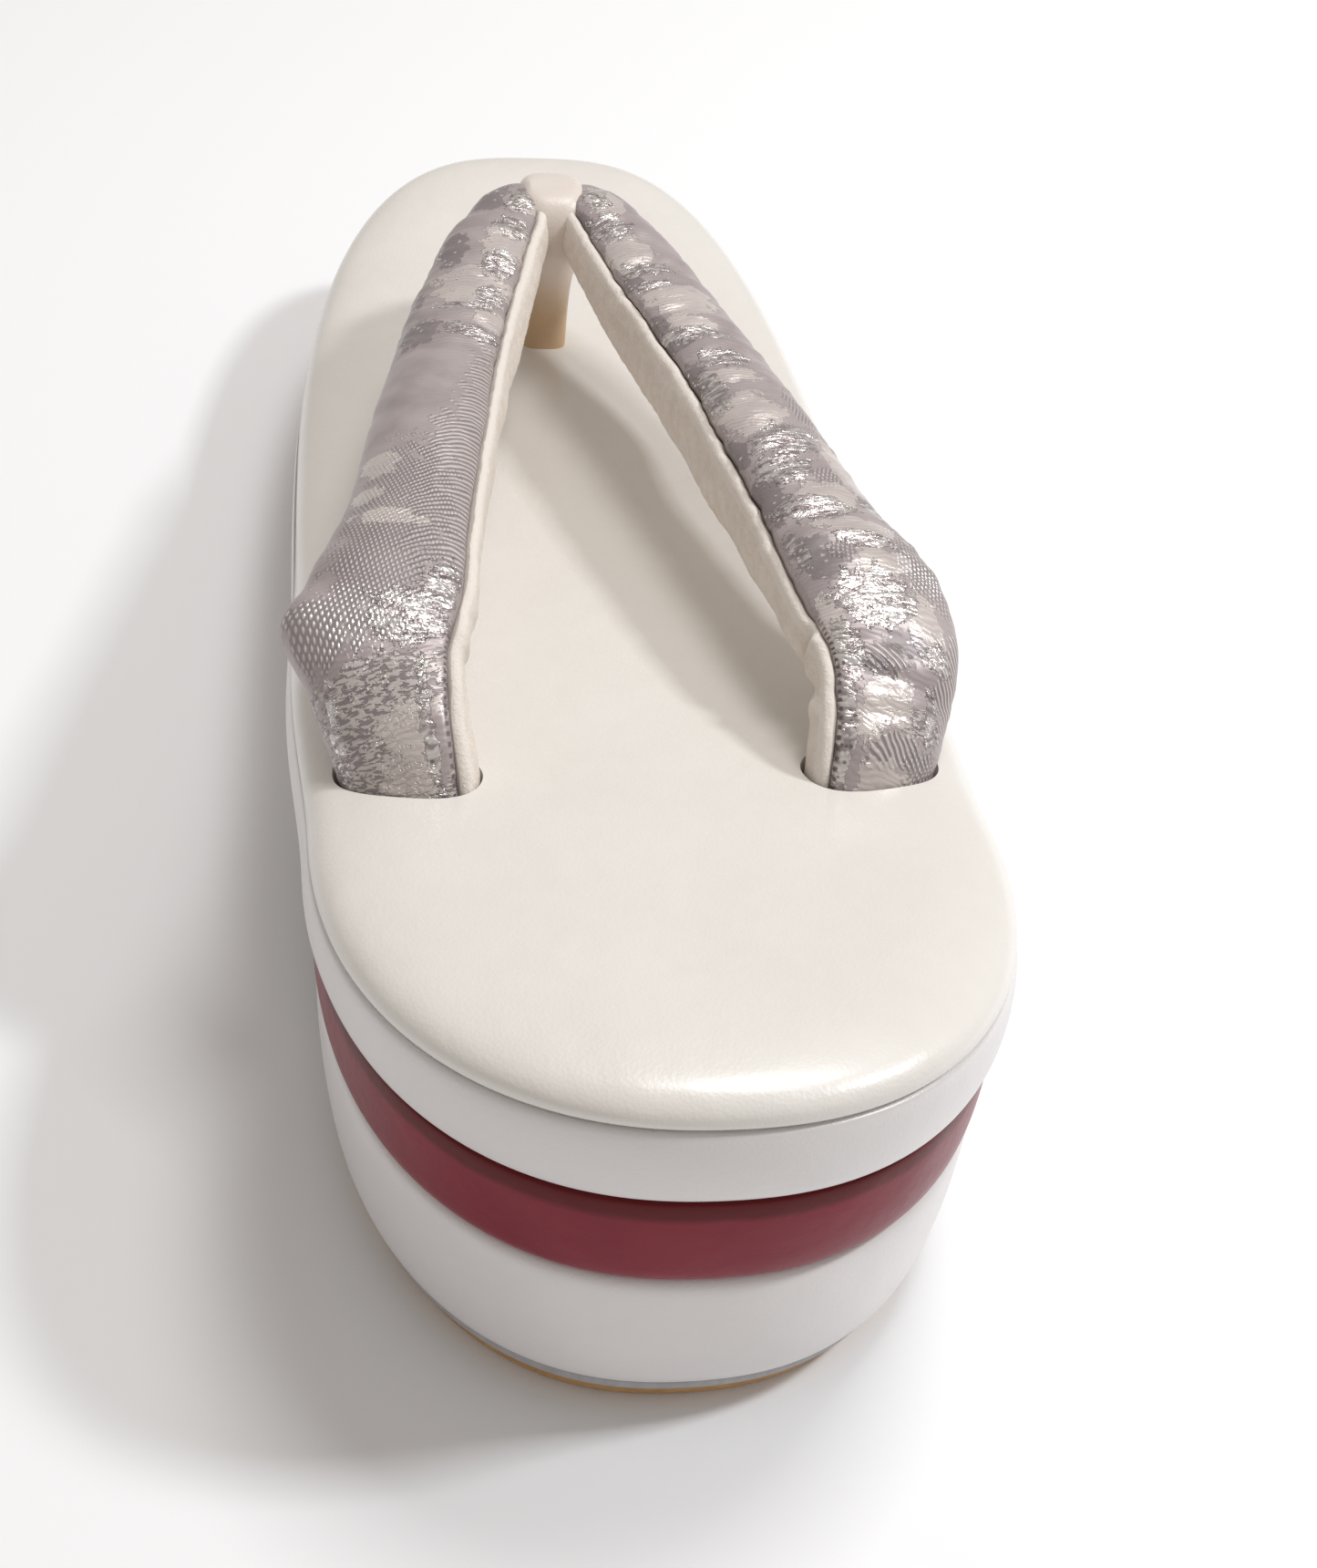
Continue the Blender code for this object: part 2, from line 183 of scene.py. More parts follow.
# the outline of the sole, along the shoe from the heel
solePlan = {
    "length": 0.240,
    "heelHalfWidth": 0.0394,
    "heelRound": 0.053,
    "heelSquareness": 2.26,
    "toeHalfWidth": 0.0401,
    "toeRoundStart": 0.118,
    "toeSquareness": 2.96,
    "middleSwell": 0.0011,
    "bowLinear": -0.0033,
    "bowSquare": 0.0053,
    "ringPoints": 192,
    "spineStart": 0.040,
    "spineEnd": 0.196,
}

# heights over the floor at the heel and the toe, and how far each line sags between them
soleHeights = {
    "topHeel": 0.0540,
    "topToe": 0.0312,
    "topDip": 0.0100,
    "topDipForward": 0.0020,
    "upperBottom": {"heel": 0.0383, "toe": 0.0175, "sag": 0.0012},
    "middleBottom": {"heel": 0.0248, "toe": 0.0115, "sag": -0.0012},
    "frontSag": 0.0300,
    "liftLength": 0.062,
    "liftThickness": 0.0027,
    "outsoleThickness": 0.0017,
    "treadStart": 0.135,
    "treadEnd": 0.195,
    "toeSpring": 0.0024,
    "gap": 0.0003,
}


def soleRing():
    plan = solePlan
    quarter = np.linspace(0, math.pi / 2, 160)
    heelAlong = plan["heelRound"] * (1 - np.cos(quarter) ** (2 / plan["heelSquareness"]))
    heelAcross = plan["heelHalfWidth"] * np.sin(quarter) ** (2 / plan["heelSquareness"])
    t = np.linspace(0, 1, 120)[1:-1]
    middleAlong = plan["heelRound"] + (plan["toeRoundStart"] - plan["heelRound"]) * t
    widening = (plan["toeHalfWidth"] - plan["heelHalfWidth"]) * ease(t)
    middleAcross = plan["heelHalfWidth"] + widening + plan["middleSwell"] * 16 * (t * (1 - t)) ** 2
    toeRun = plan["length"] - plan["toeRoundStart"]
    toeAlong = plan["toeRoundStart"] + toeRun * np.sin(quarter) ** (2 / plan["toeSquareness"])
    toeAcross = plan["toeHalfWidth"] * np.clip(np.cos(quarter), 0, 1) ** (2 / plan["toeSquareness"])
    along = np.concatenate([heelAlong, middleAlong, toeAlong])
    across = np.concatenate([heelAcross, middleAcross, toeAcross])
    share = along / plan["length"]
    bow = plan["bowLinear"] * share + plan["bowSquare"] * share**2
    right = np.column_stack([bow + across, along])
    left = np.column_stack([bow - across, along])[::-1][1:]
    loop = np.vstack([right, left])
    loop[:, 0] -= (loop[:, 0].min() + loop[:, 0].max()) / 2
    reach = np.concatenate([[0], np.cumsum(np.linalg.norm(np.diff(loop, axis=0), axis=1))])
    wanted = np.linspace(0, reach[-1], plan["ringPoints"] + 1)[:-1]
    ring = np.column_stack([np.interp(wanted, reach, loop[:, 0]), np.interp(wanted, reach, loop[:, 1])])
    step = np.roll(ring, -1, axis=0) - np.roll(ring, 1, axis=0)
    step /= np.linalg.norm(step, axis=1)[:, None]
    return ring, np.column_stack([step[:, 1], -step[:, 0]])


ring, ringOut = soleRing()


def topHeight(along):
    h = soleHeights
    t = np.clip(along / solePlan["length"], 0, 1)
    curve = 4 * h["topDip"] * t * (1 - t) - 10 * h["topDipForward"] * t * (1 - t) * (1 - 2 * t)
    return h["topHeel"] + (h["topToe"] - h["topHeel"]) * t - curve


def lineHeight(along, line):
    t = np.clip(along / solePlan["length"], 0, 1)
    straight = line["heel"] + (line["toe"] - line["heel"]) * t
    return straight - 4 * line["sag"] * t * (1 - t) - soleHeights["frontSag"] * t**4 * (1 - t)


def upperBottom(along):
    return lineHeight(along, soleHeights["upperBottom"])


def middleBottom(along):
    return lineHeight(along, soleHeights["middleBottom"])


def baseHeight(along):
    h = soleHeights
    down = ease((along - h["liftLength"] - 0.004) / (h["treadStart"] - h["liftLength"] - 0.004))
    spring = np.clip((along - h["treadEnd"]) / (solePlan["length"] - h["treadEnd"]), 0, 1) ** 2
    return (h["liftThickness"] + h["gap"]) * (1 - down) + h["toeSpring"] * spring


def lowerBottom(along):
    return baseHeight(along) + soleHeights["outsoleThickness"] + soleHeights["gap"]


def ringAt(inset, height, shrink=0.0):
    flat = ring - ringOut * inset
    if shrink:
        spineAlong = np.clip(flat[:, 1], solePlan["spineStart"], solePlan["spineEnd"])
        middle = (flat[:, 0].min() + flat[:, 0].max()) / 2
        flat = flat + (np.column_stack([np.full(len(flat), middle), spineAlong]) - flat) * shrink
    along = np.clip(flat[:, 1], 0, solePlan["length"])
    return np.column_stack([flat[:, 0], flat[:, 1] - solePlan["length"] / 2, height(along)])


# a circle laid out as the first ring, extruded ring after ring, and closed across the shoe


def layerFromRings(name, rings, shares=None):
    count = len(rings[0])
    clearSelection()
    bpy.ops.mesh.primitive_circle_add(vertices=count, radius=0.05, fill_type="NOTHING")
    piece = bpy.context.object
    piece.name = name
    piece.data.name = name
    for vertex, place in zip(piece.data.vertices, rings[0]):
        vertex.co = place
    bpy.ops.object.mode_set(mode="EDIT")
    bpy.ops.mesh.select_mode(type="VERT")
    bpy.ops.mesh.select_all(action="SELECT")
    for places in rings[1:]:
        bpy.ops.mesh.extrude_region()
        shape = bmesh.from_edit_mesh(piece.data)
        shape.verts.ensure_lookup_table()
        start = len(shape.verts) - count
        fresh = [None] * count
        for vertex in shape.verts[start:]:
            for edge in vertex.link_edges:
                other = edge.other_vert(vertex)
                if other.index < start:
                    fresh[other.index - (start - count)] = vertex
        for vertex, place in zip(fresh, places):
            vertex.co = place
        for i in range(count):
            fresh[i].index = start + i
        shape.verts.sort()
        bmesh.update_edit_mesh(piece.data)
    shape = bmesh.from_edit_mesh(piece.data)
    shape.verts.ensure_lookup_table()
    half = count // 2
    for start in (0, len(shape.verts) - count):
        for i in range(half):
            strip = [start + i, start + i + 1, start + count - i - 1, start + (count - i) % count]
            corners = [shape.verts[k] for k in dict.fromkeys(strip)]
            shape.faces.new(corners)
    bmesh.update_edit_mesh(piece.data)
    bpy.ops.mesh.select_all(action="SELECT")
    bpy.ops.mesh.normals_make_consistent(inside=False)
    bpy.ops.object.mode_set(mode="OBJECT")
    if shares is not None:
        band = piece.data.attributes.new("bandShare", "FLOAT", "POINT")
        band.data.foreach_set("value", np.repeat(shares, count).astype(np.float32))
    pick(piece)
    bpy.ops.object.shade_smooth()
    return piece


print("stage: leather looks")

# ivory synthetic leather: a pearly coat over a fine even grain; the side colour is a cooler, lavender copy of the top
# colour, partly the leather's own tone and partly painted cool light on the sides
ivoryLeather = {
    "top": colour(0.775, 0.742, 0.700),
    "side": colour(0.760, 0.735, 0.735),
    "grainSize": 0.00042,
    "grainDepth": 0.000035,
    "roughness": 0.36,
}


def leatherLook(name, base, warm, settings, coat, coatRoughness):
    look, tree, shader = newLook(name)
    place = objectPlace(tree)
    cloud = noiseAt(tree, place, 42.0, 3.0)
    fine = noiseAt(tree, place, 260.0, 4.0, 0.6)
    mix = calc(tree, "ADD", calc(tree, "MULTIPLY", cloud, 0.75), calc(tree, "MULTIPLY", fine, 0.25))
    share = stepBetween(tree, mix, 0.36, 0.64)
    feed(tree, shader.inputs["Base Color"], blendColour(tree, share, base, warm))
    pores = cellsAt(tree, place, 1.0 / settings["grainSize"]).outputs["Distance"]
    wavy = noiseAt(tree, place, 0.4 / settings["grainSize"], 3.0)
    grain = calc(tree, "ADD", calc(tree, "MULTIPLY", pores, 0.6), calc(tree, "MULTIPLY", wavy, 0.7))
    soft = noiseAt(tree, place, 95.0, 2.0)
    lower = raised(tree, soft, 0.00035)
    feed(tree, shader.inputs["Normal"], raised(tree, grain, settings["grainDepth"], lower))
    rough = calc(tree, "MULTIPLY_ADD", fine, 0.14, settings["roughness"] - 0.07)
    feed(tree, shader.inputs["Roughness"], rough)
    shader.inputs["Coat Weight"].default_value = coat
    shader.inputs["Coat Roughness"].default_value = coatRoughness
    shader.inputs["Specular IOR Level"].default_value = 0.5
    return look


topLook = leatherLook("ivoryCover", ivoryLeather["top"], colour(0.795, 0.765, 0.725), ivoryLeather, 0.60, 0.20)
# the sides: ivory with a lavender tint that is partly painted cool light
sideLookPaintedCoolLight = leatherLook("ivorySidePaintedCoolLight", ivoryLeather["side"], colour(0.780, 0.755, 0.755), ivoryLeather, 0.35, 0.25)

# burgundy glazed leather; the top of the band, under the overhang of the layer above, is painted shade, almost black
burgundyLeather = {
    # deep: the painted shade colour of the band's top strip
    "deep": colour(0.110, 0.002, 0.004),
    "open": colour(0.230, 0.014, 0.030),
    "shadowShare": 0.80,
    "grainSize": 0.00050,
}


def burgundyLook():
    look, tree, shader = newLook("burgundyBand")
    place = objectPlace(tree)
    share = addNode(tree, "ShaderNodeAttribute", attribute_name="bandShare").outputs["Fac"]
    wobble = calc(tree, "MULTIPLY_ADD", noiseAt(tree, place, 160.0, 3.0), 0.04, -0.02)
    edge = calc(tree, "ADD", share, wobble)
    # painted shade: above this share of the band's height the colour turns to the deep painted shade
    start = burgundyLeather["shadowShare"]
    shadow = stepBetween(tree, edge, start - 0.02, start + 0.05)
    cloud = stepBetween(tree, noiseAt(tree, place, 70.0, 4.0), 0.3, 0.7)
    body = blendColour(tree, cloud, burgundyLeather["open"], colour(0.195, 0.011, 0.026))
    feed(tree, shader.inputs["Base Color"], blendColour(tree, shadow, body, burgundyLeather["deep"]))
    grain = noiseAt(tree, place, 0.7 / burgundyLeather["grainSize"], 3.0)
    lower = raised(tree, noiseAt(tree, place, 110.0, 2.0), 0.0003)
    feed(tree, shader.inputs["Normal"], raised(tree, grain, 0.00002, lower))
    feed(tree, shader.inputs["Roughness"], calc(tree, "MULTIPLY_ADD", grain, 0.1, 0.26))
    shader.inputs["Specular IOR Level"].default_value = 0.22
    return look


bandLook = burgundyLook()

# silver-grey edge of the outsole
greyEdge = {"light": colour(0.50, 0.50, 0.52), "dark": colour(0.33, 0.33, 0.34)}


def edgeLook():
    look, tree, shader = newLook("greyEdge")
    place = objectPlace(tree)
    streak = noiseAt(tree, stretched(tree, place, (900.0, 900.0, 90.0)), 1.0, 3.0)
    feed(tree, shader.inputs["Base Color"], blendColour(tree, streak, greyEdge["dark"], greyEdge["light"]))
    feed(tree, shader.inputs["Normal"], raised(tree, streak, 0.00006))
    feed(tree, shader.inputs["Roughness"], calc(tree, "MULTIPLY_ADD", streak, 0.2, 0.35))
    return look


rimLook = edgeLook()

# tan sole leather with an open, slightly fibrous cut
tanLeather = {"light": colour(0.62, 0.37, 0.16), "dark": colour(0.40, 0.21, 0.08)}


def tanLook():
    look, tree, shader = newLook("tanLeather")
    place = objectPlace(tree)
    blotch = noiseAt(tree, place, 90.0, 5.0, 0.6)
    fibre = noiseAt(tree, stretched(tree, place, (700.0, 700.0, 2600.0)), 1.0, 4.0)
    share = calc(tree, "ADD", calc(tree, "MULTIPLY", blotch, 0.6), calc(tree, "MULTIPLY", fibre, 0.4))
    share = stepBetween(tree, share, 0.3, 0.7)
    feed(tree, shader.inputs["Base Color"], blendColour(tree, share, tanLeather["dark"], tanLeather["light"]))
    feed(tree, shader.inputs["Normal"], raised(tree, fibre, 0.00008))
    feed(tree, shader.inputs["Roughness"], calc(tree, "MULTIPLY_ADD", fibre, 0.2, 0.5))
    return look


liftLook = tanLook()

print("stage: strap arms")

# each row lies along the arm from the joint at the front to its end in the rear hole:
# along from the heel, out from the strap line, rise over the footbed, in metres; turn and lean aim the brocade
strapArm = {
    "lineFront": -0.0008,
    "lineRear": -0.0006,
    "postAlong": 0.1790,
    "lineRearAlong": 0.057,
    "squareness": 2.3,
    "underCut": 0.80,
    "outerLift": 0.0012,
    "wall": 0.0014,
    "innerSeam": 141.0,
    "outerSeam": -48.0,
    "stations": 400,
    "brocadePoints": 84,
    "liningPoints": 44,
    "backPoints": 14,
    "rows": [
        {"along": 0.1840, "out": 0.0018, "rise": 0.0168, "wide": 0.0080, "thick": 0.0078, "turn": 60, "lean": 48},
        {"along": 0.1805, "out": 0.0044, "rise": 0.0206, "wide": 0.0106, "thick": 0.0092, "turn": 42, "lean": 74},
        {"along": 0.1710, "out": 0.0083, "rise": 0.0202, "wide": 0.0136, "thick": 0.0110, "turn": 24, "lean": 84},
        {"along": 0.1520, "out": 0.0138, "rise": 0.0178, "wide": 0.0160, "thick": 0.0130, "turn": 14, "lean": 84},
        {"along": 0.1310, "out": 0.0184, "rise": 0.0164, "wide": 0.0160, "thick": 0.0146, "turn": 8, "lean": 86},
        {"along": 0.1100, "out": 0.0221, "rise": 0.0147, "wide": 0.0164, "thick": 0.0156, "turn": -2, "lean": 88},
        {"along": 0.0920, "out": 0.0252, "rise": 0.0132, "wide": 0.0172, "thick": 0.0146, "turn": -24, "lean": 88},
        {"along": 0.0790, "out": 0.0280, "rise": 0.0116, "wide": 0.0198, "thick": 0.0126, "turn": -56, "lean": 84},
        {"along": 0.0710, "out": 0.0290, "rise": 0.0090, "wide": 0.0184, "thick": 0.0106, "turn": -73, "lean": 60},
        {"along": 0.0655, "out": 0.0280, "rise": 0.0052, "wide": 0.0172, "thick": 0.0100, "turn": -76, "lean": 30},
        {"along": 0.0615, "out": 0.0268, "rise": 0.0008, "wide": 0.0162, "thick": 0.0100, "turn": -77, "lean": 10},
        {"along": 0.0590, "out": 0.0260, "rise": -0.0042, "wide": 0.0150, "thick": 0.0098, "turn": -78, "lean": 2},
        {"along": 0.0580, "out": 0.0256, "rise": -0.0086, "wide": 0.0146, "thick": 0.0098, "turn": -78, "lean": 0},
    ],
}


def armStations(side, count):
    arm = strapArm
    columns = ("along", "out", "rise", "wide", "thick", "turn", "lean")
    rows = np.array([[row[c] for c in columns] for row in arm["rows"]], float)
    share = (arm["postAlong"] - rows[:, 0]) / (arm["postAlong"] - arm["lineRearAlong"])
    line = arm["lineFront"] + (arm["lineRear"] - arm["lineFront"]) * share
    height = topHeight(rows[:, 0]) + rows[:, 2]
    place = np.column_stack([line + side * rows[:, 1], rows[:, 0] - solePlan["length"] / 2, height])
    values = np.column_stack([place, rows[:, 3:]])
    reach = np.concatenate([[0], np.cumsum(np.linalg.norm(np.diff(place, axis=0), axis=1))])
    slope = np.gradient(values, reach, axis=0)
    wanted = np.linspace(0, reach[-1], count)
    i = np.clip(np.searchsorted(reach, wanted, side="right") - 1, 0, len(reach) - 2)
    span = (reach[i + 1] - reach[i])[:, None]
    t = (wanted - reach[i])[:, None] / span
    smooth = (
        (2 * t**3 - 3 * t**2 + 1) * values[i]
        + (t**3 - 2 * t**2 + t) * span * slope[i]
        + (3 * t**2 - 2 * t**3) * values[i + 1]
        + (t**3 - t**2) * span * slope[i + 1]
    )
    heading = np.gradient(smooth[:, :3], axis=0)
    heading /= np.linalg.norm(heading, axis=1)[:, None]
    turn, lean = np.radians(smooth[:, 5]), np.radians(smooth[:, 6])
    face = np.column_stack([side * np.cos(turn) * np.cos(lean), np.sin(turn) * np.cos(lean), np.sin(lean)])
    face -= (face * heading).sum(1)[:, None] * heading
    face /= np.linalg.norm(face, axis=1)[:, None]
    outward = np.cross(face, heading) * side
    return {"reach": wanted, "place": smooth[:, :3], "face": face, "outward": outward, "heading": heading,
            "wide": smooth[:, 3], "thick": smooth[:, 4]}


def armSurface(stations, angles, grow=0.0):
    # angles: one row for each station; 0 is the outer edge and 90 the middle of the brocade
    power = 2 / strapArm["squareness"]
    c, s = np.cos(np.radians(angles)), np.sin(np.radians(angles))
    across = np.sign(c) * np.abs(c) ** power * (stations["wide"][:, None] / 2 + grow)
    up = np.sign(s) * np.abs(s) ** power * (stations["thick"][:, None] / 2 + grow)
    # the underside slopes up to the outer edge along the middle of the arm
    share = stations["reach"] / stations["reach"][-1]
    thin = (ease((share - 0.28) / 0.2) * (1 - ease((share - 0.78) / 0.1)))[:, None]
    slope = ease((c + 0.9) / 1.9)
    up = np.where(s < 0, up * (1 - strapArm["underCut"] * thin * slope), up)
    up = up + strapArm["outerLift"] * thin * ease((c - 0.1) / 0.9) * ease((0.9 - s) / 0.9)
    return (
        stations["place"][:, None, :]
        + stations["outward"][:, None, :] * across[..., None]
        + stations["face"][:, None, :] * up[..., None]
    )


def surfaceNormals(points, side):
    along = np.gradient(points, axis=0)
    around = np.gradient(points, axis=1)
    normal = np.cross(around, along) * side
    return normal / np.linalg.norm(normal, axis=2)[..., None]


def noiseField(a, b, seed):
    flat = [fieldNoise.noise(Vector((x, y, seed))) for x, y in zip(a.ravel(), b.ravel())]
    return np.array(flat).reshape(a.shape)


# folds listed: reach from the front and place across, in mm, then width, span, depth and slant
creases = {
    "right": [
        (8.0, 1.0, 1.0, 5.0, 0.35, 0.25),
        (17.0, 2.0, 1.4, 5.0, 0.45, -0.20),
        (30.0, 3.0, 1.5, 5.0, 0.55, 0.35),
        (36.5, 2.0, 1.2, 6.0, 0.45, 0.15),
        (44.0, 3.0, 1.1, 5.0, 0.45, -0.25),
        (51.0, 1.0, 1.6, 7.0, 0.60, 0.30),
        (57.5, 2.0, 1.2, 5.0, 0.45, 0.10),
        (66.0, 4.0, 1.4, 6.0, 0.55, -0.20),
        (78.0, 1.0, 1.7, 7.0, 0.60, 0.35),
        (87.0, 2.0, 1.3, 5.0, 0.45, -0.30),
        (92.0, -1.0, 1.5, 7.0, 0.45, 0.25),
        (99.0, 2.0, 1.4, 6.0, 0.55, 0.20),
        (106.0, 1.0, 1.3, 6.0, 0.50, -0.15),
        (113.0, 6.0, 1.2, 4.0, 0.45, 0.25),
        (119.0, 2.0, 1.1, 7.0, 0.60, 0.12),
        (123.0, 0.0, 1.0, 7.0, 0.50, -0.10),
        (126.5, 3.0, 0.9, 5.0, 0.35, 0.20),
    ],
    "left": [
        (9.0, 2.0, 1.1, 6.0, 0.45, 0.20),
        (19.0, 0.0, 1.3, 6.0, 0.50, -0.25),
        (31.0, 2.0, 1.5, 6.0, 0.55, 0.30),
        (36.0, -2.0, 1.2, 5.0, 0.40, -0.20),
        (47.5, 0.0, 1.3, 7.0, 0.60, 0.25),
        (55.5, 1.0, 1.3, 8.0, 0.50, -0.10),
        (72.0, -7.0, 2.0, 4.0, 0.35, 0.30),
        (104.0, -7.0, 2.2, 4.0, 0.45, 0.20),
        (118.5, 2.0, 1.2, 9.0, 0.55, 0.08),
        (124.0, -3.0, 1.0, 6.0, 0.35, -0.20),
    ],
}

# patches of the cloth by kind, the last kind being painted highlight where the bends catch the light: reach and place
# across in mm, half length, half width, tilt in degrees
patches = {
    "right": {
        "cream": [
            (12, 0.5, 5, 3.5, 0), (26, 2.9, 6, 4.2, 10), (41, 0.6, 6, 5.5, 0), (48, 2, 2.4, 4.5, 20),
            (63.8, 2.4, 2.0, 5.5, 15), (74.4, 2.2, 6, 5.0, 0), (88, -6.5, 9, 3.0, 0), (95, -1, 3.6, 4.4, 25),
            (103, -2, 2.6, 6.5, 18), (109.4, -1.8, 3.4, 4.0, 0), (117.2, -4.4, 4.6, 3.2, -15),
            (117, 7.2, 5, 2.4, 0), (124.9, 1.4, 3.2, 4.0, 10), (127.5, 4.6, 2.2, 2.6, 0), (132.8, 0.4, 2.4, 4.4, 0),
        ],
        "dark": [
            (14.7, 5.8, 4, 2.0, 0), (33.7, 5.4, 2.6, 1.8, 0), (46.3, 6.2, 3.4, 1.8, 0), (62.8, 6.2, 6, 2.2, 0),
            (93.3, 6.4, 6, 2.8, 0), (107, 5.0, 5.0, 3.2, 0), (52, 5.2, 2.4, 3.4, 0), (82, 6.6, 4, 1.8, 0),
            (119, -1.0, 1.6, 3.5, 0), (122, 3.6, 1.4, 3.0, 0),
        ],
        "spark": [
            (10.5, 1.2, 3.0, 2.4, 0), (18, 2.6, 4.4, 3.6, 0), (31, 2, 2.4, 4.4, 10), (36, 3, 1.4, 3.4, 0),
            (51, 2.5, 2.2, 5.5, 15), (59, 0.6, 3.2, 4.2, 0), (67, 5, 6, 2.2, 0), (81.7, 0.2, 4.4, 5.5, -20),
            (88, 2.6, 4.0, 4.4, 0), (98, 1.6, 2.6, 6.0, 20), (105.5, -2, 1.4, 5.0, 18), (113.6, 1.2, 4.4, 5.6, 0),
            (120.5, 6.2, 5.0, 2.2, 0), (129.5, 6.6, 7, 1.9, 0), (120, -5.5, 1.6, 2.4, 0), (126, -4.4, 3.4, 1.0, 0),
            (97, -6.5, 3, 1.6, 0), (104, 6.8, 4, 1.4, 0),
        ],
        "twill": [
            (72, -5.6, 8, 2.6, 0), (91, -2.6, 3, 3.0, 0), (108.5, -8.0, 8, 4.6, 0), (131.5, -4.0, 4.4, 3.6, 0),
            (106.6, 1.8, 2.4, 2.6, 0),
        ],
        "rib": [(120.8, 2.0, 2.0, 4.0, 0), (122.4, -8.4, 7, 4.4, 0), (129.6, -0.4, 2.2, 5.6, 0)],
        "dash": [(126.5, -2, 1.6, 4, 0)],
        "paintedHighlight": [(110, -7, 4, 4.6, 0), (113.8, 1.6, 4.2, 4.6, 0)],
    },
    "left": {
        "cream": [
            (10.5, 3.2, 4, 2.6, 0), (23, 3.4, 7, 4.0, 0), (37, 1.2, 7.0, 6.5, 0), (46, 5, 4, 2.6, 0),
            (87.6, -5.4, 3.6, 3.0, 35), (94.6, -6.0, 2.4, 2.8, 20), (100.6, -2.0, 2.0, 5.2, 0),
            (127.6, 2.0, 3.0, 3.4, -25), (132, 1.4, 3.2, 3.6, 0),
        ],
        "dark": [(11, -2.2, 4.5, 2.8, 0), (27, -4.0, 5.5, 2.6, 10), (51, -4.6, 4.8, 3.6, 0), (40, -6.5, 3, 1.2, 0)],
        "spark": [
            (11, 2.4, 4, 2.2, 0), (19, 3.2, 3.4, 3.0, 0), (30, 3.6, 4.4, 2.6, 0), (40, 3.9, 4.4, 2.2, 0),
            (51, 3.0, 2.4, 4.4, 0), (44, 1.0, 1.2, 5.0, 0), (110.5, 6.4, 4.4, 2.6, 0), (115.8, 3.2, 4.0, 5.4, -15),
            (127.5, 4.7, 8, 1.0, 0), (128.5, -6.4, 8, 1.1, 0),
        ],
        "twill": [(101, -1.0, 22, 8.5, 0), (117, -7, 4, 4, 0)],
        "rib": [(84, 6.4, 38, 4.4, 0), (92, 3.0, 22, 4.0, 0)],
        "dash": [(123.4, 0, 4.4, 10, 0), (129, -3.4, 6, 5.6, 0), (134, 0, 4, 10, 0)],
        "paintedHighlight": [(115.4, -0.6, 4.2, 9.5, 0)],
    },
}
clothKinds = ("cream", "dark", "spark", "twill", "rib", "dash", "paintedHighlight")


def patchField(table, reach, across):
    field = np.full_like(across, -1.0)
    for row in table:
        turn = math.radians(row[4])
        x = (reach - row[0]) * math.cos(turn) + (across - row[1]) * math.sin(turn)
        y = (across - row[1]) * math.cos(turn) - (reach - row[0]) * math.sin(turn)
        field = np.maximum(field, 1 - np.sqrt((x / row[2]) ** 2 + (y / row[3]) ** 2))
    return field


def creaseDepth(word, reach, across):
    depth = np.zeros_like(across)
    for place, middle, width, span, deep, slant in creases[word]:
        x = (reach - place - slant * (across - middle)) / width
        fade = np.exp(-(((across - middle) / span) ** 4))
        depth -= 0.55 * deep * fade * (np.exp(-(x**2)) - 0.35 * np.exp(-((np.abs(x) - 1.8) ** 2)))
    return depth


def gridSkin(name, front, back, extras):
    # front and back: stations by points; closed round the edges and at both ends
    loops = np.concatenate([front, back], axis=1)
    rows, count = loops.shape[:2]
    k, i = np.meshgrid(np.arange(rows - 1), np.arange(count), indexing="ij")
    j = (i + 1) % count
    quads = np.stack([k * count + i, k * count + j, (k + 1) * count + j, (k + 1) * count + i], axis=-1)
    faces = quads.reshape(-1, 4).tolist()
    ends = [list(range(count)), list(range((rows - 1) * count, rows * count))]
    mesh = bpy.data.meshes.new(name)
    mesh.from_pydata(loops.reshape(-1, 3).tolist(), [], faces + ends)
    uvMap = mesh.uv_layers.new(name="clothUv")
    corners = np.zeros(len(mesh.loops), np.int32)
    mesh.loops.foreach_get("vertex_index", corners)
    uvMap.data.foreach_set("uv", extras["uv"].reshape(-1, 2)[corners].ravel().astype(np.float32))
    for key, values in extras["fields"].items():
        field = mesh.attributes.new(key, "FLOAT", "POINT")
        field.data.foreach_set("value", values.ravel().astype(np.float32))
    piece = bpy.data.objects.new(name, mesh)
    bpy.context.scene.collection.objects.link(piece)
    pick(piece)
    bpy.ops.object.mode_set(mode="EDIT")
    bpy.ops.mesh.select_all(action="SELECT")
    bpy.ops.mesh.normals_make_consistent(inside=False)
    bpy.ops.object.mode_set(mode="OBJECT")
    bpy.ops.object.shade_smooth()
    return piece


# the seam on the inner side: its angle at reaches along each arm, in mm and degrees
seamLine = {
    "right": {"reach": [0, 60, 90, 104, 116, 128, 140], "angle": [141, 141, 147, 152, 151, 150, 146]},
    "left": {"reach": [0, 40, 60, 100, 118, 130, 140], "angle": [141, 143, 149, 149, 150, 145, 142]},
}


def seamAngle(word, reach):
    seed = 3.0 if word == "right" else 9.0
    wave = noiseField(reach / 9.0, np.zeros_like(reach), seed) * 3.0
    wave += noiseField(reach / 2.6, np.ones_like(reach), seed) * 1.6
    return np.interp(reach, seamLine[word]["reach"], seamLine[word]["angle"]) + wave


def padBack(values, extra):
    return np.concatenate([values, np.repeat(values[:, -1:], extra, axis=1)], axis=1)


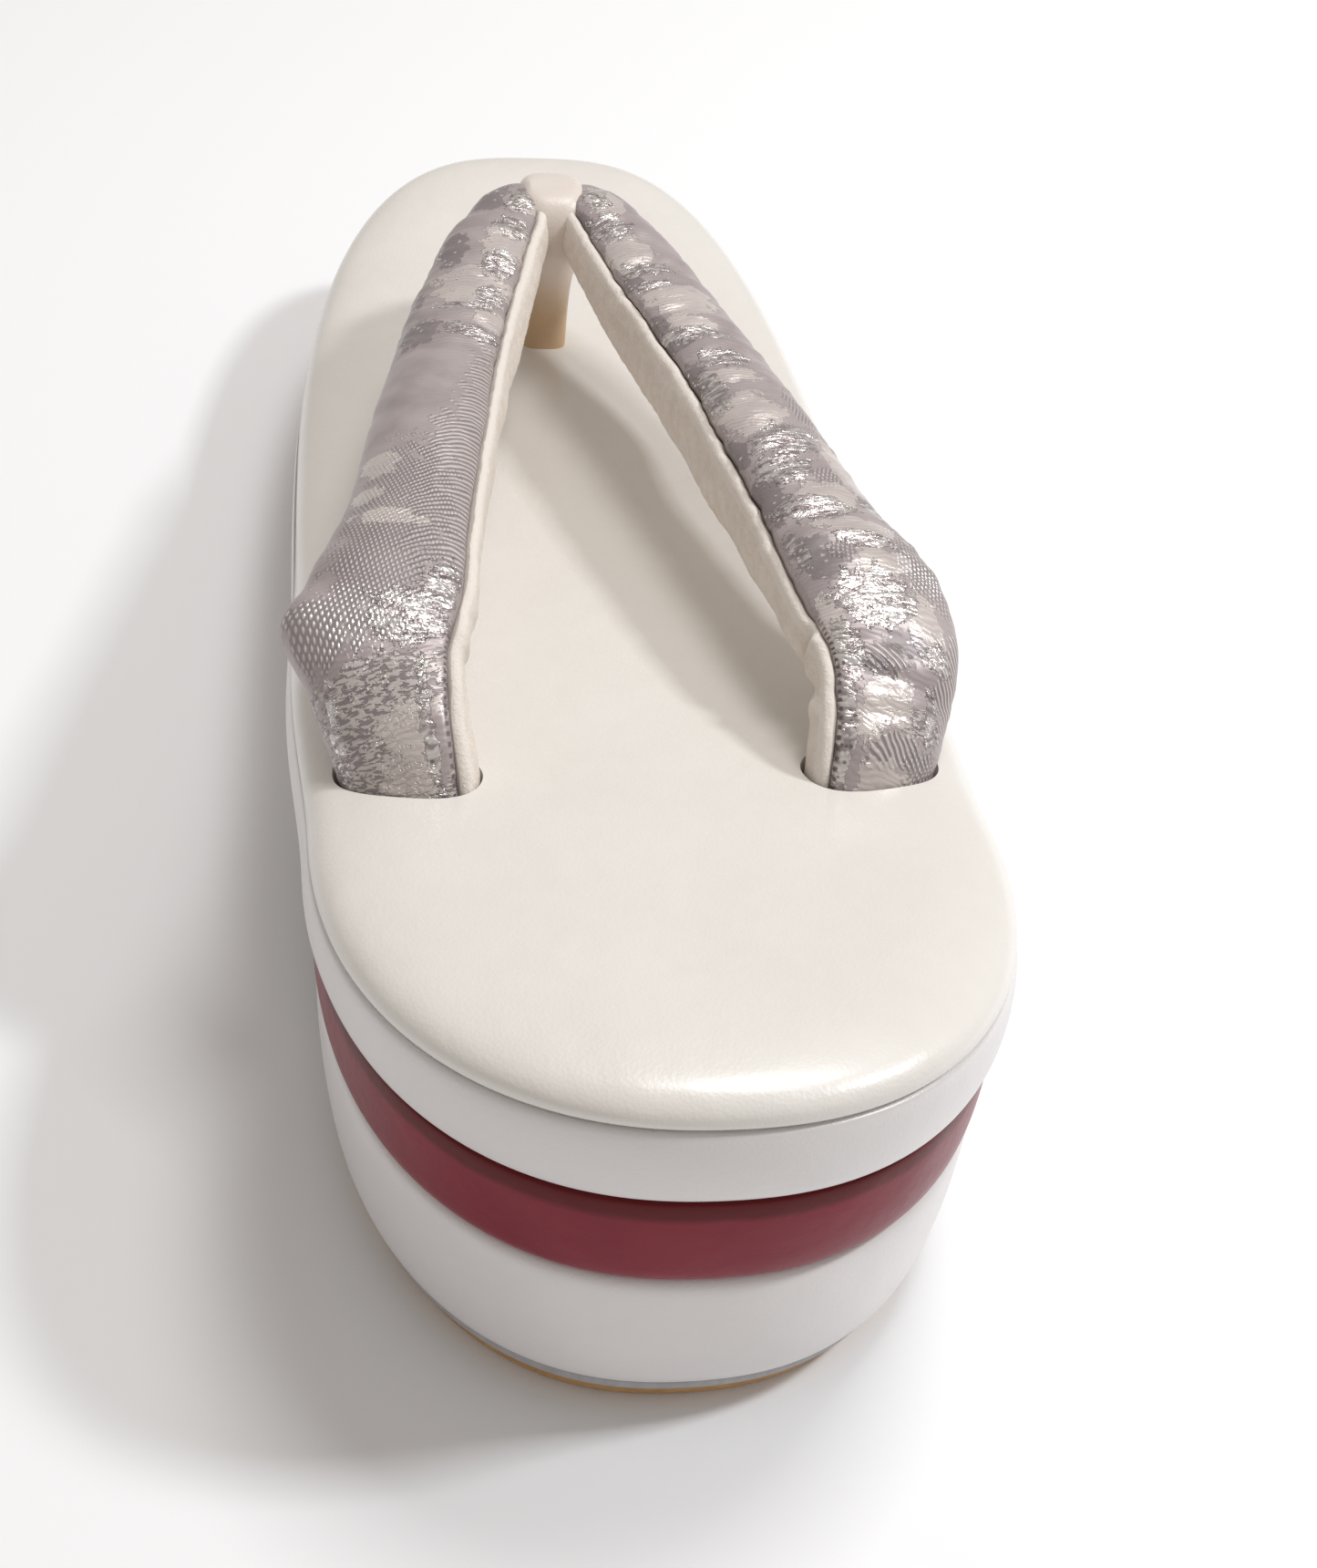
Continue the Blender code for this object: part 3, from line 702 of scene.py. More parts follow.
def brocadeArm(word, side):
    arm = strapArm
    stations = armStations(side, arm["stations"])
    seam = seamAngle(word, stations["reach"] * 1000)[:, None]
    share = np.linspace(0, 1, arm["brocadePoints"])[None, :]
    angles = arm["outerSeam"] + (seam - arm["outerSeam"]) * share
    base = armSurface(stations, angles)
    normals = surfaceNormals(base, side)
    step = np.linalg.norm(np.diff(base, axis=1), axis=2) * 1000
    around = np.concatenate([np.zeros((len(base), 1)), np.cumsum(step, axis=1)], axis=1)
    crown = np.array([np.interp(90, a, r) for a, r in zip(angles, around)])[:, None]
    across = around - crown
    fromEdge = np.minimum(around, around[:, -1:] - around)
    reach = stations["reach"][:, None] * 1000 + 0 * angles
    fields = {kind: patchField(patches[word].get(kind, []), reach, across) for kind in clothKinds}
    move = creaseDepth(word, reach, across)
    loose = 1 - ease((reach - 50) / 8) * (1 - ease((reach - 112) / 6)) if word == "left" else 1.0
    rumple = noiseField((reach + 0.3 * across) / 3.2, across / 9.0, 21.0 + side)
    finer = noiseField((reach - 0.3 * across) / 1.5, across / 4.5, 31.0 + side)
    move += (0.24 * rumple + 0.14 * finer) * loose
    move += 0.35 * noiseField(reach / 16.0, across / 11.0, 5.0 + side)
    if word == "left":
        # the outer corner of this arm's bend stands out to a soft point
        corner = np.exp(-(((reach - 115.0) / 3.4) ** 2) - ((across + 11.5) / 4.6) ** 2)
        move += 2.4 * corner
    move -= 0.55 * np.exp(-((fromEdge / 0.55) ** 2))
    fade = ease((reach - 1.5) / 6.0)
    front = base + normals * (move * fade / 1000)[..., None]
    backAngles = np.linspace(1, 0, arm["backPoints"])[None, :] * (angles[:, -1:] - angles[:, :1]) + angles[:, :1]
    back = armSurface(stations, backAngles, -arm["wall"])
    uv = np.stack([padBack(across / 100, arm["backPoints"]), padBack(reach / 100, arm["backPoints"])], axis=-1)
    wide = {kind: padBack(value, arm["backPoints"]) for kind, value in fields.items()}
    wide["seamDistance"] = padBack(around[:, -1:] - around, arm["backPoints"])
    return gridSkin("brocade_" + word, front, back, {"uv": uv, "fields": wide})


def liningArm(word, side, name):
    arm = strapArm
    stations = armStations(side, arm["stations"])
    gapAngle = math.degrees(0.00025 / 0.0075)
    first = seamAngle(word, stations["reach"] * 1000)[:, None] + gapAngle
    share = np.linspace(0, 1, arm["liningPoints"])[None, :]
    angles = first + (360 + arm["outerSeam"] - gapAngle - first) * share
    base = armSurface(stations, angles)
    normals = surfaceNormals(base, side)
    step = np.linalg.norm(np.diff(base, axis=1), axis=2) * 1000
    around = np.concatenate([np.zeros((len(base), 1)), np.cumsum(step, axis=1)], axis=1)
    reach = stations["reach"][:, None] * 1000 + 0 * angles
    move = 0.35 * noiseField(reach / 9.0, around / 6.0, 44.0 + side)
    move += 0.12 * noiseField(reach / 1.3, around / 1.3, 47.0 + side)
    # the cut edge of the lining stands up as a soft lip beside the brocade
    move += 0.30 * np.exp(-(((around - 0.9) / 0.7) ** 2)) - 0.25 * np.exp(-((around / 0.35) ** 2))
    for place, middle, width, span, deep, slant in liningFolds[word]:
        x = (reach - place - slant * (around - middle)) / width
        move -= deep * np.exp(-(((around - middle) / span) ** 4)) * (np.exp(-(x**2)) - 0.7 * np.exp(-((x - 1.8) ** 2)))
    fade = ease((reach - 1.5) / 6.0)
    front = base + normals * (move * fade / 1000)[..., None]
    backAngles = np.linspace(1, 0, arm["backPoints"])[None, :] * (angles[:, -1:] - angles[:, :1]) + angles[:, :1]
    back = armSurface(stations, backAngles, -arm["wall"])
    uv = np.stack([padBack(around / 100, arm["backPoints"]), padBack(reach / 100, arm["backPoints"])], axis=-1)
    edge = padBack(around, arm["backPoints"])
    return gridSkin(name, front, back, {"uv": uv, "fields": {"edgeDistance": edge}})


# soft folds of the linings, laid out as the brocade's folds are
liningFolds = {
    "right": [(117.0, 4.0, 1.6, 5.0, 0.9, 0.5), (96.0, 3.0, 2.0, 4.0, 0.3, 0.3), (124.0, 5.0, 1.4, 3.0, 0.4, -0.3)],
    "left": [(112.0, 3.0, 2.2, 4.0, 0.35, 0.2)],
}
brocadeRight = brocadeArm("right", 1)
brocadeLeft = brocadeArm("left", -1)
clearSelection()
brocadeLeft.select_set(True)
brocadeRight.select_set(True)
bpy.context.view_layer.objects.active = brocadeRight
bpy.ops.object.join()
strapBrocade = brocadeRight
strapBrocade.name = "strapBrocade"
liningLateral = liningArm("right", 1, "liningLateral")
liningMedial = liningArm("left", -1, "liningMedial")

print("stage: cloth looks")

# silver-lilac brocade: satin ground, curved ribs and twill, cream satin patches and metallic glitter
brocadeCloth = {
    "satin": colour(0.450, 0.390, 0.390),
    "satinDeep": colour(0.370, 0.315, 0.320),
    "cream": colour(0.700, 0.635, 0.600),
    "creamDeep": colour(0.520, 0.460, 0.445),
    "dark": colour(0.180, 0.155, 0.165),
    # the silver of the glitter, also used for painted glints and highlights
    "speckAndPaintedGlint": colour(0.900, 0.870, 0.850),
    "ribPitch": 0.95,
    "crossPitch": 0.74,
    "threadPitch": 0.62,
    "ribSlope": 1.1,
    "seamSide": 9.0,
}


def brocadeLook():
    look, tree, shader = newLook("brocade")
    cloth = brocadeCloth
    uvNode = addNode(tree, "ShaderNodeUVMap", uv_map="clothUv").outputs[0]
    inMm = stretched(tree, uvNode, (100.0, 100.0, 100.0))
    parts = addNode(tree, "ShaderNodeSeparateXYZ", {0: inMm})
    across, along = parts.outputs[0], parts.outputs[1]
    ragged = noiseAt(tree, inMm, 0.50, 3.0, 0.6)
    raggedFine = noiseAt(tree, inMm, 2.4, 2.0, 0.6)
    rag = calc(tree, "ADD", calc(tree, "MULTIPLY", ragged, 1.7), calc(tree, "MULTIPLY", raggedFine, 0.55))
    rag = calc(tree, "SUBTRACT", rag, 1.12)
    mask = {}
    for kind in clothKinds:
        field = addNode(tree, "ShaderNodeAttribute", attribute_name=kind).outputs["Fac"]
        crisp = 0.22 if kind in ("paintedHighlight", "rib", "twill") else 0.07
        mask[kind] = stepBetween(tree, calc(tree, "ADD", field, rag), 0.10, 0.10 + crisp)
    # the ribs lie across the arm at the inner seam and bend into a diagonal towards the outer side
    sway = calc(tree, "MULTIPLY_ADD", noiseAt(tree, inMm, 0.35, 1.0), 1.0, -0.5)
    left = calc(tree, "MINIMUM", across, 0.0)
    inner = calc(tree, "MINIMUM", calc(tree, "MAXIMUM", across, 0.0), cloth["seamSide"])
    bend = calc(tree, "MULTIPLY", calc(tree, "MULTIPLY", inner, inner), 0.5 / cloth["seamSide"])
    lean = calc(tree, "ADD", left, calc(tree, "SUBTRACT", inner, bend))
    ribPlace = calc(tree, "ADD", calc(tree, "MULTIPLY_ADD", lean, cloth["ribSlope"], along), sway)
    ribWave = calc(tree, "SINE", calc(tree, "MULTIPLY", ribPlace, 2 * math.pi / cloth["ribPitch"]))
    rib = calc(tree, "MULTIPLY_ADD", ribWave, 0.5, 0.5)
    crossPlace = calc(tree, "SUBTRACT", calc(tree, "MULTIPLY", across, 1.25), calc(tree, "MULTIPLY", along, 0.55))
    crossWave = calc(tree, "SINE", calc(tree, "MULTIPLY", crossPlace, 2 * math.pi / cloth["crossPitch"]))
    dot = calc(tree, "MULTIPLY", rib, calc(tree, "MULTIPLY_ADD", crossWave, 0.5, 0.5))
    threadPlace = calc(tree, "ADD", calc(tree, "MULTIPLY_ADD", across, 0.16, along), calc(tree, "MULTIPLY", sway, 1.6))
    thread = calc(tree, "SINE", calc(tree, "MULTIPLY", threadPlace, 2 * math.pi / cloth["threadPitch"]))
    thread = calc(tree, "MULTIPLY_ADD", thread, 0.5, 0.5)
    # ground
    slow = stepBetween(tree, noiseAt(tree, inMm, 0.16, 3.0), 0.35, 0.65)
    cover = blendColour(tree, slow, cloth["satinDeep"], cloth["satin"])
    cover = blendColour(tree, calc(tree, "MULTIPLY", thread, 0.10), cover, cloth["cream"])
    ribColour = blendColour(tree, stepBetween(tree, rib, 0.25, 0.80), cloth["dark"], cloth["cream"])
    cover = blendColour(tree, calc(tree, "MULTIPLY", mask["rib"], 0.62), cover, ribColour)
    dotColour = blendColour(tree, stepBetween(tree, dot, 0.12, 0.60), cloth["dark"], cloth["cream"])
    cover = blendColour(tree, calc(tree, "MULTIPLY", mask["twill"], 0.50), cover, dotColour)
    # short dark floats running across
    dashes = noiseAt(tree, stretched(tree, inMm, (0.9, 2.7, 1.0)), 1.0, 2.0, 0.6, 0.5)
    dash = stepBetween(tree, dashes, 0.47, 0.56)
    dashColour = blendColour(tree, dash, cloth["cream"], cloth["dark"])
    cover = blendColour(tree, calc(tree, "MULTIPLY", mask["dash"], 0.60), cover, dashColour)
    # cream satin, combed by its threads
    combed = calc(tree, "MULTIPLY_ADD", thread, 0.55, calc(tree, "MULTIPLY", slow, 0.45))
    creamColour = blendColour(tree, combed, cloth["creamDeep"], cloth["cream"])
    cover = blendColour(tree, calc(tree, "MULTIPLY", mask["cream"], 0.92), cover, creamColour)
    darkColour = blendColour(tree, calc(tree, "MULTIPLY", raggedFine, 0.5), cloth["dark"], cloth["satin"])
    cover = blendColour(tree, calc(tree, "MULTIPLY", mask["dark"], 0.88), cover, darkColour)
    # glitter: crumpled metal thread with dark and white specks; its shift from deep satin to white follows the crumple
    # bump, partly the silver thread's own colour and partly painted shade and highlight on the crumples, and the white
    # specks are partly silver thread and partly painted glints
    crumple = noiseAt(tree, stretched(tree, inMm, (0.40, 1.05, 1.0)), 1.0, 3.0, 0.6, 0.7)
    sparkShade = stepBetween(tree, crumple, 0.40, 0.62)
    sparkColour = blendColour(tree, sparkShade, cloth["satinDeep"], cloth["speckAndPaintedGlint"])
    cover = blendColour(tree, calc(tree, "MULTIPLY", mask["spark"], 0.70), cover, sparkColour)
    # white specks: partly silver thread, partly painted glints
    specks = cellsAt(tree, stretched(tree, inMm, (1.5, 2.3, 1.0)), 1.0)
    lots = addNode(tree, "ShaderNodeSeparateColor", {0: specks.outputs["Color"]})
    near = stepBetween(tree, specks.outputs["Distance"], 0.50, 0.28)
    chance = calc(tree, "MULTIPLY_ADD", mask["spark"], 0.34, calc(tree, "MULTIPLY", mask["dark"], 0.10))
    chance = calc(tree, "ADD", chance, calc(tree, "MULTIPLY", mask["dash"], 0.07))
    speckAndPaintedGlint = calc(tree, "GREATER_THAN", calc(tree, "ADD", lots.outputs[0], chance), 1.0)
    speckAndPaintedGlint = calc(tree, "MULTIPLY", speckAndPaintedGlint, near)
    sunk = calc(tree, "GREATER_THAN", calc(tree, "MULTIPLY_ADD", mask["spark"], 0.20, lots.outputs[1]), 1.0)
    sunk = calc(tree, "MULTIPLY", sunk, near)
    cover = blendColour(tree, calc(tree, "MULTIPLY", sunk, 0.8), cover, cloth["dark"])
    # painted highlight: in the highlight patches the dots are pushed to near-white, as where the bends catch the light
    lit = calc(tree, "MULTIPLY", mask["paintedHighlight"], stepBetween(tree, dot, 0.20, 0.55))
    speckAndPaintedGlint = calc(tree, "MAXIMUM", speckAndPaintedGlint, calc(tree, "MULTIPLY", lit, 0.85))
    cover = blendColour(tree, speckAndPaintedGlint, cover, cloth["speckAndPaintedGlint"])
    # stitches along the inner seam, near the end of each arm
    seamDistance = addNode(tree, "ShaderNodeAttribute", attribute_name="seamDistance").outputs["Fac"]
    seamBand = calc(tree, "MULTIPLY", stepBetween(tree, seamDistance, 0.20, 0.32), stepBetween(tree, seamDistance, 0.95, 0.70))
    stitch = stepBetween(tree, calc(tree, "SINE", calc(tree, "MULTIPLY", along, 2 * math.pi / 0.85)), -0.2, 0.4)
    rear = stepBetween(tree, along, 112.0, 118.0)
    cover = blendColour(tree, calc(tree, "MULTIPLY", calc(tree, "MULTIPLY", seamBand, stitch), rear), cover, cloth["dark"])
    feed(tree, shader.inputs["Base Color"], cover)
    metal = calc(tree, "MULTIPLY_ADD", mask["spark"], 0.45, 0.22)
    metal = calc(tree, "MAXIMUM", metal, calc(tree, "MULTIPLY", speckAndPaintedGlint, 0.80))
    feed(tree, shader.inputs["Metallic"], metal)
    rough = blendValue(tree, mask["cream"], 0.42, 0.30)
    rough = blendValue(tree, mask["spark"], rough, 0.24)
    rough = blendValue(tree, speckAndPaintedGlint, rough, 0.16)
    feed(tree, shader.inputs["Roughness"], rough)
    relief = calc(tree, "MULTIPLY", rib, calc(tree, "MULTIPLY", mask["rib"], 0.7))
    relief = calc(tree, "ADD", relief, calc(tree, "MULTIPLY", dot, calc(tree, "MULTIPLY", mask["twill"], 0.7)))
    relief = calc(tree, "ADD", relief, calc(tree, "MULTIPLY", thread, 0.10))
    relief = calc(tree, "ADD", relief, calc(tree, "MULTIPLY", dash, calc(tree, "MULTIPLY", mask["dash"], -0.5)))
    fineBump = raised(tree, relief, 0.00016)
    crush = calc(tree, "MAXIMUM", mask["spark"], calc(tree, "MULTIPLY", mask["cream"], 0.35))
    feed(tree, shader.inputs["Normal"], raised(tree, calc(tree, "MULTIPLY", crumple, crush), 0.00050, fineBump))
    shader.inputs["Specular IOR Level"].default_value = 0.6
    return look


brocade = brocadeLook()

# white flannel, napped; mottled by the nap between the light and the shade colour, and lighter along the cut edge as
# painted light on the standing lip
flannelCloth = {"light": colour(0.860, 0.790, 0.730), "shade": colour(0.760, 0.675, 0.600)}


def flannelLook():
    look, tree, shader = newLook("flannel")
    uvNode = addNode(tree, "ShaderNodeUVMap", uv_map="clothUv").outputs[0]
    inMm = stretched(tree, uvNode, (100.0, 100.0, 100.0))
    nap = noiseAt(tree, inMm, 2.2, 4.0, 0.7)
    lint = noiseAt(tree, inMm, 0.4, 3.0)
    edge = addNode(tree, "ShaderNodeAttribute", attribute_name="edgeDistance").outputs["Fac"]
    share = calc(tree, "MULTIPLY_ADD", lint, 0.5, calc(tree, "MULTIPLY", nap, 0.5))
    # painted light: near the cut edge the colour goes to the light flannel
    share = stepBetween(tree, calc(tree, "ADD", share, stepBetween(tree, edge, 2.2, 0.6)), 0.35, 0.65)
    feed(tree, shader.inputs["Base Color"], blendColour(tree, share, flannelCloth["shade"], flannelCloth["light"]))
    feed(tree, shader.inputs["Normal"], raised(tree, nap, 0.00025))
    shader.inputs["Roughness"].default_value = 0.95
    shader.inputs["Specular IOR Level"].default_value = 0.1
    shader.inputs["Sheen Weight"].default_value = 0.25
    shader.inputs["Sheen Roughness"].default_value = 0.5
    shader.inputs["Sheen Tint"].default_value = colour(1.0, 0.95, 0.90)
    return look


flannel = flannelLook()
settle(strapBrocade, ["strap_brocade"], brocade)
settle(liningLateral, ["lining_lateral"], flannel)
settle(liningMedial, ["lining_medial"], flannel)

print("stage: sole")

# rows of each side: inset from the outline, drop from the top or share of the layer's height
topCover = {
    "hidden": [
        {"inset": 0.0120, "drop": 0.0051},
        {"inset": 0.0050, "drop": 0.0051},
        {"inset": 0.0020, "drop": 0.0051},
        {"inset": 0.0011, "drop": 0.00505},
    ],
    "rim": [
        {"inset": 0.0008, "drop": 0.0048},
        {"inset": 0.0007, "drop": 0.0041},
        {"inset": 0.0011, "drop": 0.0031},
        {"inset": 0.0023, "drop": 0.0020},
        {"inset": 0.0042, "drop": 0.0012},
        {"inset": 0.0068, "drop": 0.0006},
        {"inset": 0.0098, "drop": 0.0002},
        {"inset": 0.0130, "drop": 0.0000},
    ],
    "shrinks": [0.16, 0.34, 0.52, 0.70, 0.86],
}
upperLayer = [
    {"inset": 0.0024, "drop": 0.0053, "lift": None},
    {"inset": 0.0011, "drop": 0.00535, "lift": None},
    {"inset": 0.0006, "drop": 0.0056, "lift": None},
    {"inset": 0.0003, "drop": 0.0066, "lift": None},
    {"inset": 0.0001, "drop": 0.0080, "lift": None},
    {"inset": 0.0000, "drop": 0.0105, "lift": None},
    {"inset": 0.0002, "drop": None, "lift": 0.0016},
    {"inset": 0.0006, "drop": None, "lift": 0.0005},
    {"inset": 0.0014, "drop": None, "lift": 0.0001},
    {"inset": 0.0050, "drop": None, "lift": 0.0000},
]
middleLayer = [
    {"inset": 0.0050, "share": 1.00},
    {"inset": 0.0016, "share": 1.00},
    {"inset": 0.0012, "share": 0.96},
    {"inset": 0.0010, "share": 0.80},
    {"inset": 0.0010, "share": 0.50},
    {"inset": 0.0012, "share": 0.20},
    {"inset": 0.0016, "share": 0.04},
    {"inset": 0.0024, "share": 0.00},
    {"inset": 0.0060, "share": 0.00},
]
lowerLayer = [
    {"inset": 0.0060, "share": 1.00},
    {"inset": 0.0034, "share": 1.00},
    {"inset": 0.0024, "share": 0.985},
    {"inset": 0.0017, "share": 0.94},
    {"inset": 0.0015, "share": 0.84},
    {"inset": 0.0017, "share": 0.50},
    {"inset": 0.0025, "share": 0.12},
    {"inset": 0.0032, "share": 0.03},
    {"inset": 0.0042, "share": 0.00},
    {"inset": 0.0080, "share": 0.00},
]


def bandedRings(rows, top, bottom):
    rings = []
    for row in rows:
        rings.append(ringAt(row["inset"], lambda a, r=row: bottom(a) + (top(a) - bottom(a)) * r["share"]))
    return rings


def makeCover():
    rings = []
    for row in topCover["hidden"] + topCover["rim"]:
        rings.append(ringAt(row["inset"], lambda a, r=row: topHeight(a) - r["drop"]))
    for shrink in topCover["shrinks"]:
        rings.append(ringAt(topCover["rim"][-1]["inset"], topHeight, shrink))
    piece = layerFromRings("topCover", rings)
    refine(piece, 2)
    return piece


def makeUpper():
    rings = []
    for row in upperLayer:
        if row["drop"] is not None:
            rings.append(ringAt(row["inset"], lambda a, r=row: topHeight(a) - r["drop"]))
        else:
            rings.append(ringAt(row["inset"], lambda a, r=row: upperBottom(a) + r["lift"]))
    piece = layerFromRings("upperLayer", rings)
    refine(piece, 2)
    return piece


def makeMiddle():
    rings = bandedRings(middleLayer, lambda a: upperBottom(a) - soleHeights["gap"], middleBottom)
    piece = layerFromRings("middleLayer", rings, [row["share"] for row in middleLayer])
    refine(piece, 2)
    return piece


def makeLower():
    rings = bandedRings(lowerLayer, lambda a: middleBottom(a) - soleHeights["gap"], lowerBottom)
    piece = layerFromRings("lowerLayer", rings)
    refine(piece, 2)
    return piece


outsoleRows = [
    {"inset": 0.0080, "share": 1.00},
    {"inset": 0.0043, "share": 1.00},
    {"inset": 0.0040, "share": 0.88},
    {"inset": 0.0040, "share": 0.30},
    {"inset": 0.0043, "share": 0.08},
    {"inset": 0.0052, "share": 0.00},
    {"inset": 0.0090, "share": 0.00},
]


def makeOutsole():
    rings = bandedRings(outsoleRows, lambda a: baseHeight(a) + soleHeights["outsoleThickness"], baseHeight)
    piece = layerFromRings("outsolePlate", rings)
    refine(piece, 2)
    return piece


heelLift = {"rows": [(0.0080, 1.00), (0.0055, 1.00), (0.0052, 0.85), (0.0053, 0.30), (0.0057, 0.08), (0.0066, 0.0), (0.0100, 0.0)]}


def makeLift():
    tall = soleHeights["liftThickness"]
    rings = [ringAt(inset, lambda a, s=share: 0 * a + tall * s) for inset, share in heelLift["rows"]]
    piece = layerFromRings("heelLift", rings)
    refine(piece, 2)
    pick(piece)
    bpy.ops.object.mode_set(mode="EDIT")
    bpy.ops.mesh.select_all(action="SELECT")
    cutAt = (0, soleHeights["liftLength"] - solePlan["length"] / 2, 0)
    bpy.ops.mesh.bisect(plane_co=cutAt, plane_no=(0, 1, 0), use_fill=True, clear_outer=True)
    bpy.ops.object.mode_set(mode="OBJECT")
    bpy.ops.object.shade_smooth_by_angle(angle=math.radians(40))
    return piece


def strapHole(side, grow):
    # a plug along the end of an arm, for cutting its way into the cover
    stations = armStations(side, 120)
    keep = stations["reach"] > 0.112
    for key in stations:
        stations[key] = stations[key][keep]
    angles = np.repeat(np.linspace(0, 360, 73)[None, :-1], keep.sum(), axis=0)
    loops = armSurface(stations, angles, grow)
    count = loops.shape[1]
    faces = []
    for k in range(len(loops) - 1):
        for i in range(count):
            j = (i + 1) % count
            faces.append((k * count + i, k * count + j, (k + 1) * count + j, (k + 1) * count + i))
    last = (len(loops) - 1) * count
    faces.append(tuple(range(count)))
    faces.append(tuple(range(last, last + count)))
    mesh = bpy.data.meshes.new("holePlug")
    mesh.from_pydata(loops.reshape(-1, 3).tolist(), [], faces)
    plug = bpy.data.objects.new("holePlug", mesh)
    bpy.context.scene.collection.objects.link(plug)
    pick(plug)
    bpy.ops.object.mode_set(mode="EDIT")
    bpy.ops.mesh.select_all(action="SELECT")
    bpy.ops.mesh.normals_make_consistent(inside=False)
    bpy.ops.object.mode_set(mode="OBJECT")
    return plug


cover = makeCover()
upper = makeUpper()
middle = makeMiddle()
lower = makeLower()
outsole = makeOutsole()
lift = makeLift()
for side in (1, -1):
    plug = strapHole(side, 0.0005)
    cutWith(cover, plug)
    cutWith(upper, plug)
    bpy.data.objects.remove(plug, do_unlink=True)
pick(cover)
bpy.ops.object.shade_smooth_by_angle(angle=math.radians(50))
pick(upper)
bpy.ops.object.shade_smooth_by_angle(angle=math.radians(50))
settle(cover, ["top_cover"], topLook)
settle(upper, ["upper_layer"], sideLookPaintedCoolLight)
settle(middle, ["middle_layer"], bandLook)
settle(lower, ["lower_layer"], sideLookPaintedCoolLight)
settle(outsole, ["outsole"], rimLook)
settle(lift, ["heel_lift"], liftLook)

print("stage: front loop")

# leather post between the toes, opening into a loop round the joint of the arms
frontLoop = {
    "points": 48,
    "squareness": 0.7,
    "rows": [
        {"rise": -0.0060, "wide": 0.0064, "deep": 0.0044, "shift": 0.0000},
        {"rise": 0.0000, "wide": 0.0066, "deep": 0.0046, "shift": 0.0000},
        {"rise": 0.0040, "wide": 0.0067, "deep": 0.0048, "shift": 0.0001},
        {"rise": 0.0080, "wide": 0.0068, "deep": 0.0052, "shift": 0.0003},
        {"rise": 0.0115, "wide": 0.0074, "deep": 0.0090, "shift": 0.0010},
        {"rise": 0.0150, "wide": 0.0084, "deep": 0.0136, "shift": 0.0014},
        {"rise": 0.0195, "wide": 0.0096, "deep": 0.0160, "shift": 0.0012},
        {"rise": 0.0236, "wide": 0.0100, "deep": 0.0146, "shift": 0.0008},
        {"rise": 0.0258, "wide": 0.0092, "deep": 0.0104, "shift": 0.0004},
        {"rise": 0.0266, "wide": 0.0066, "deep": 0.0056, "shift": 0.0002},
    ],
}


def makeLoop():
    rings = []
    count = frontLoop["points"]
    # starts on the side so that the closing strips run across
    angles = np.linspace(0, 2 * math.pi, count + 1)[:-1]
    power = frontLoop["squareness"]
    for row in frontLoop["rows"]:
        across = np.sign(np.cos(angles)) * np.abs(np.cos(angles)) ** power * row["wide"] / 2
        deep = np.sign(np.sin(angles)) * np.abs(np.sin(angles)) ** power * row["deep"] / 2
        height = topHeight(strapArm["postAlong"]) + row["rise"]
        middle = strapArm["postAlong"] + row["shift"] - solePlan["length"] / 2
        rings.append(np.column_stack([strapArm["lineFront"] + across, middle + deep, np.full(count, height)]))
    piece = layerFromRings("frontLoop", rings)
    refine(piece, 2)
    return piece


loop = makeLoop()
# the post turns ochre towards its foot: partly painted warm shade low on the post, partly the leather's own ochre tint
postLeather = {"top": colour(0.760, 0.690, 0.640), "foot": colour(0.600, 0.420, 0.250), "fadeFrom": 0.031, "fadeTo": 0.046}


def postLook():
    look = leatherLook("loopLeather", postLeather["top"], colour(0.720, 0.640, 0.580), ivoryLeather, 0.10, 0.35)
    tree = look.node_tree
    shader = tree.nodes["Principled BSDF"]
    before = shader.inputs["Base Color"].links[0].from_socket
    height = addNode(tree, "ShaderNodeSeparateXYZ", {0: objectPlace(tree)}).outputs[2]
    # ochre towards the foot, partly painted warm shade
    share = stepBetween(tree, height, postLeather["fadeTo"], postLeather["fadeFrom"])
    blotch = calc(tree, "MULTIPLY_ADD", noiseAt(tree, objectPlace(tree), 300.0, 3.0), 0.5, 0.75)
    share = calc(tree, "MULTIPLY", share, blotch)
    feed(tree, shader.inputs["Base Color"], blendColour(tree, share, before, postLeather["foot"]))
    return look


loopLook = postLook()
settle(loop, ["front_loop"], loopLook)

print("stage: camera and light")

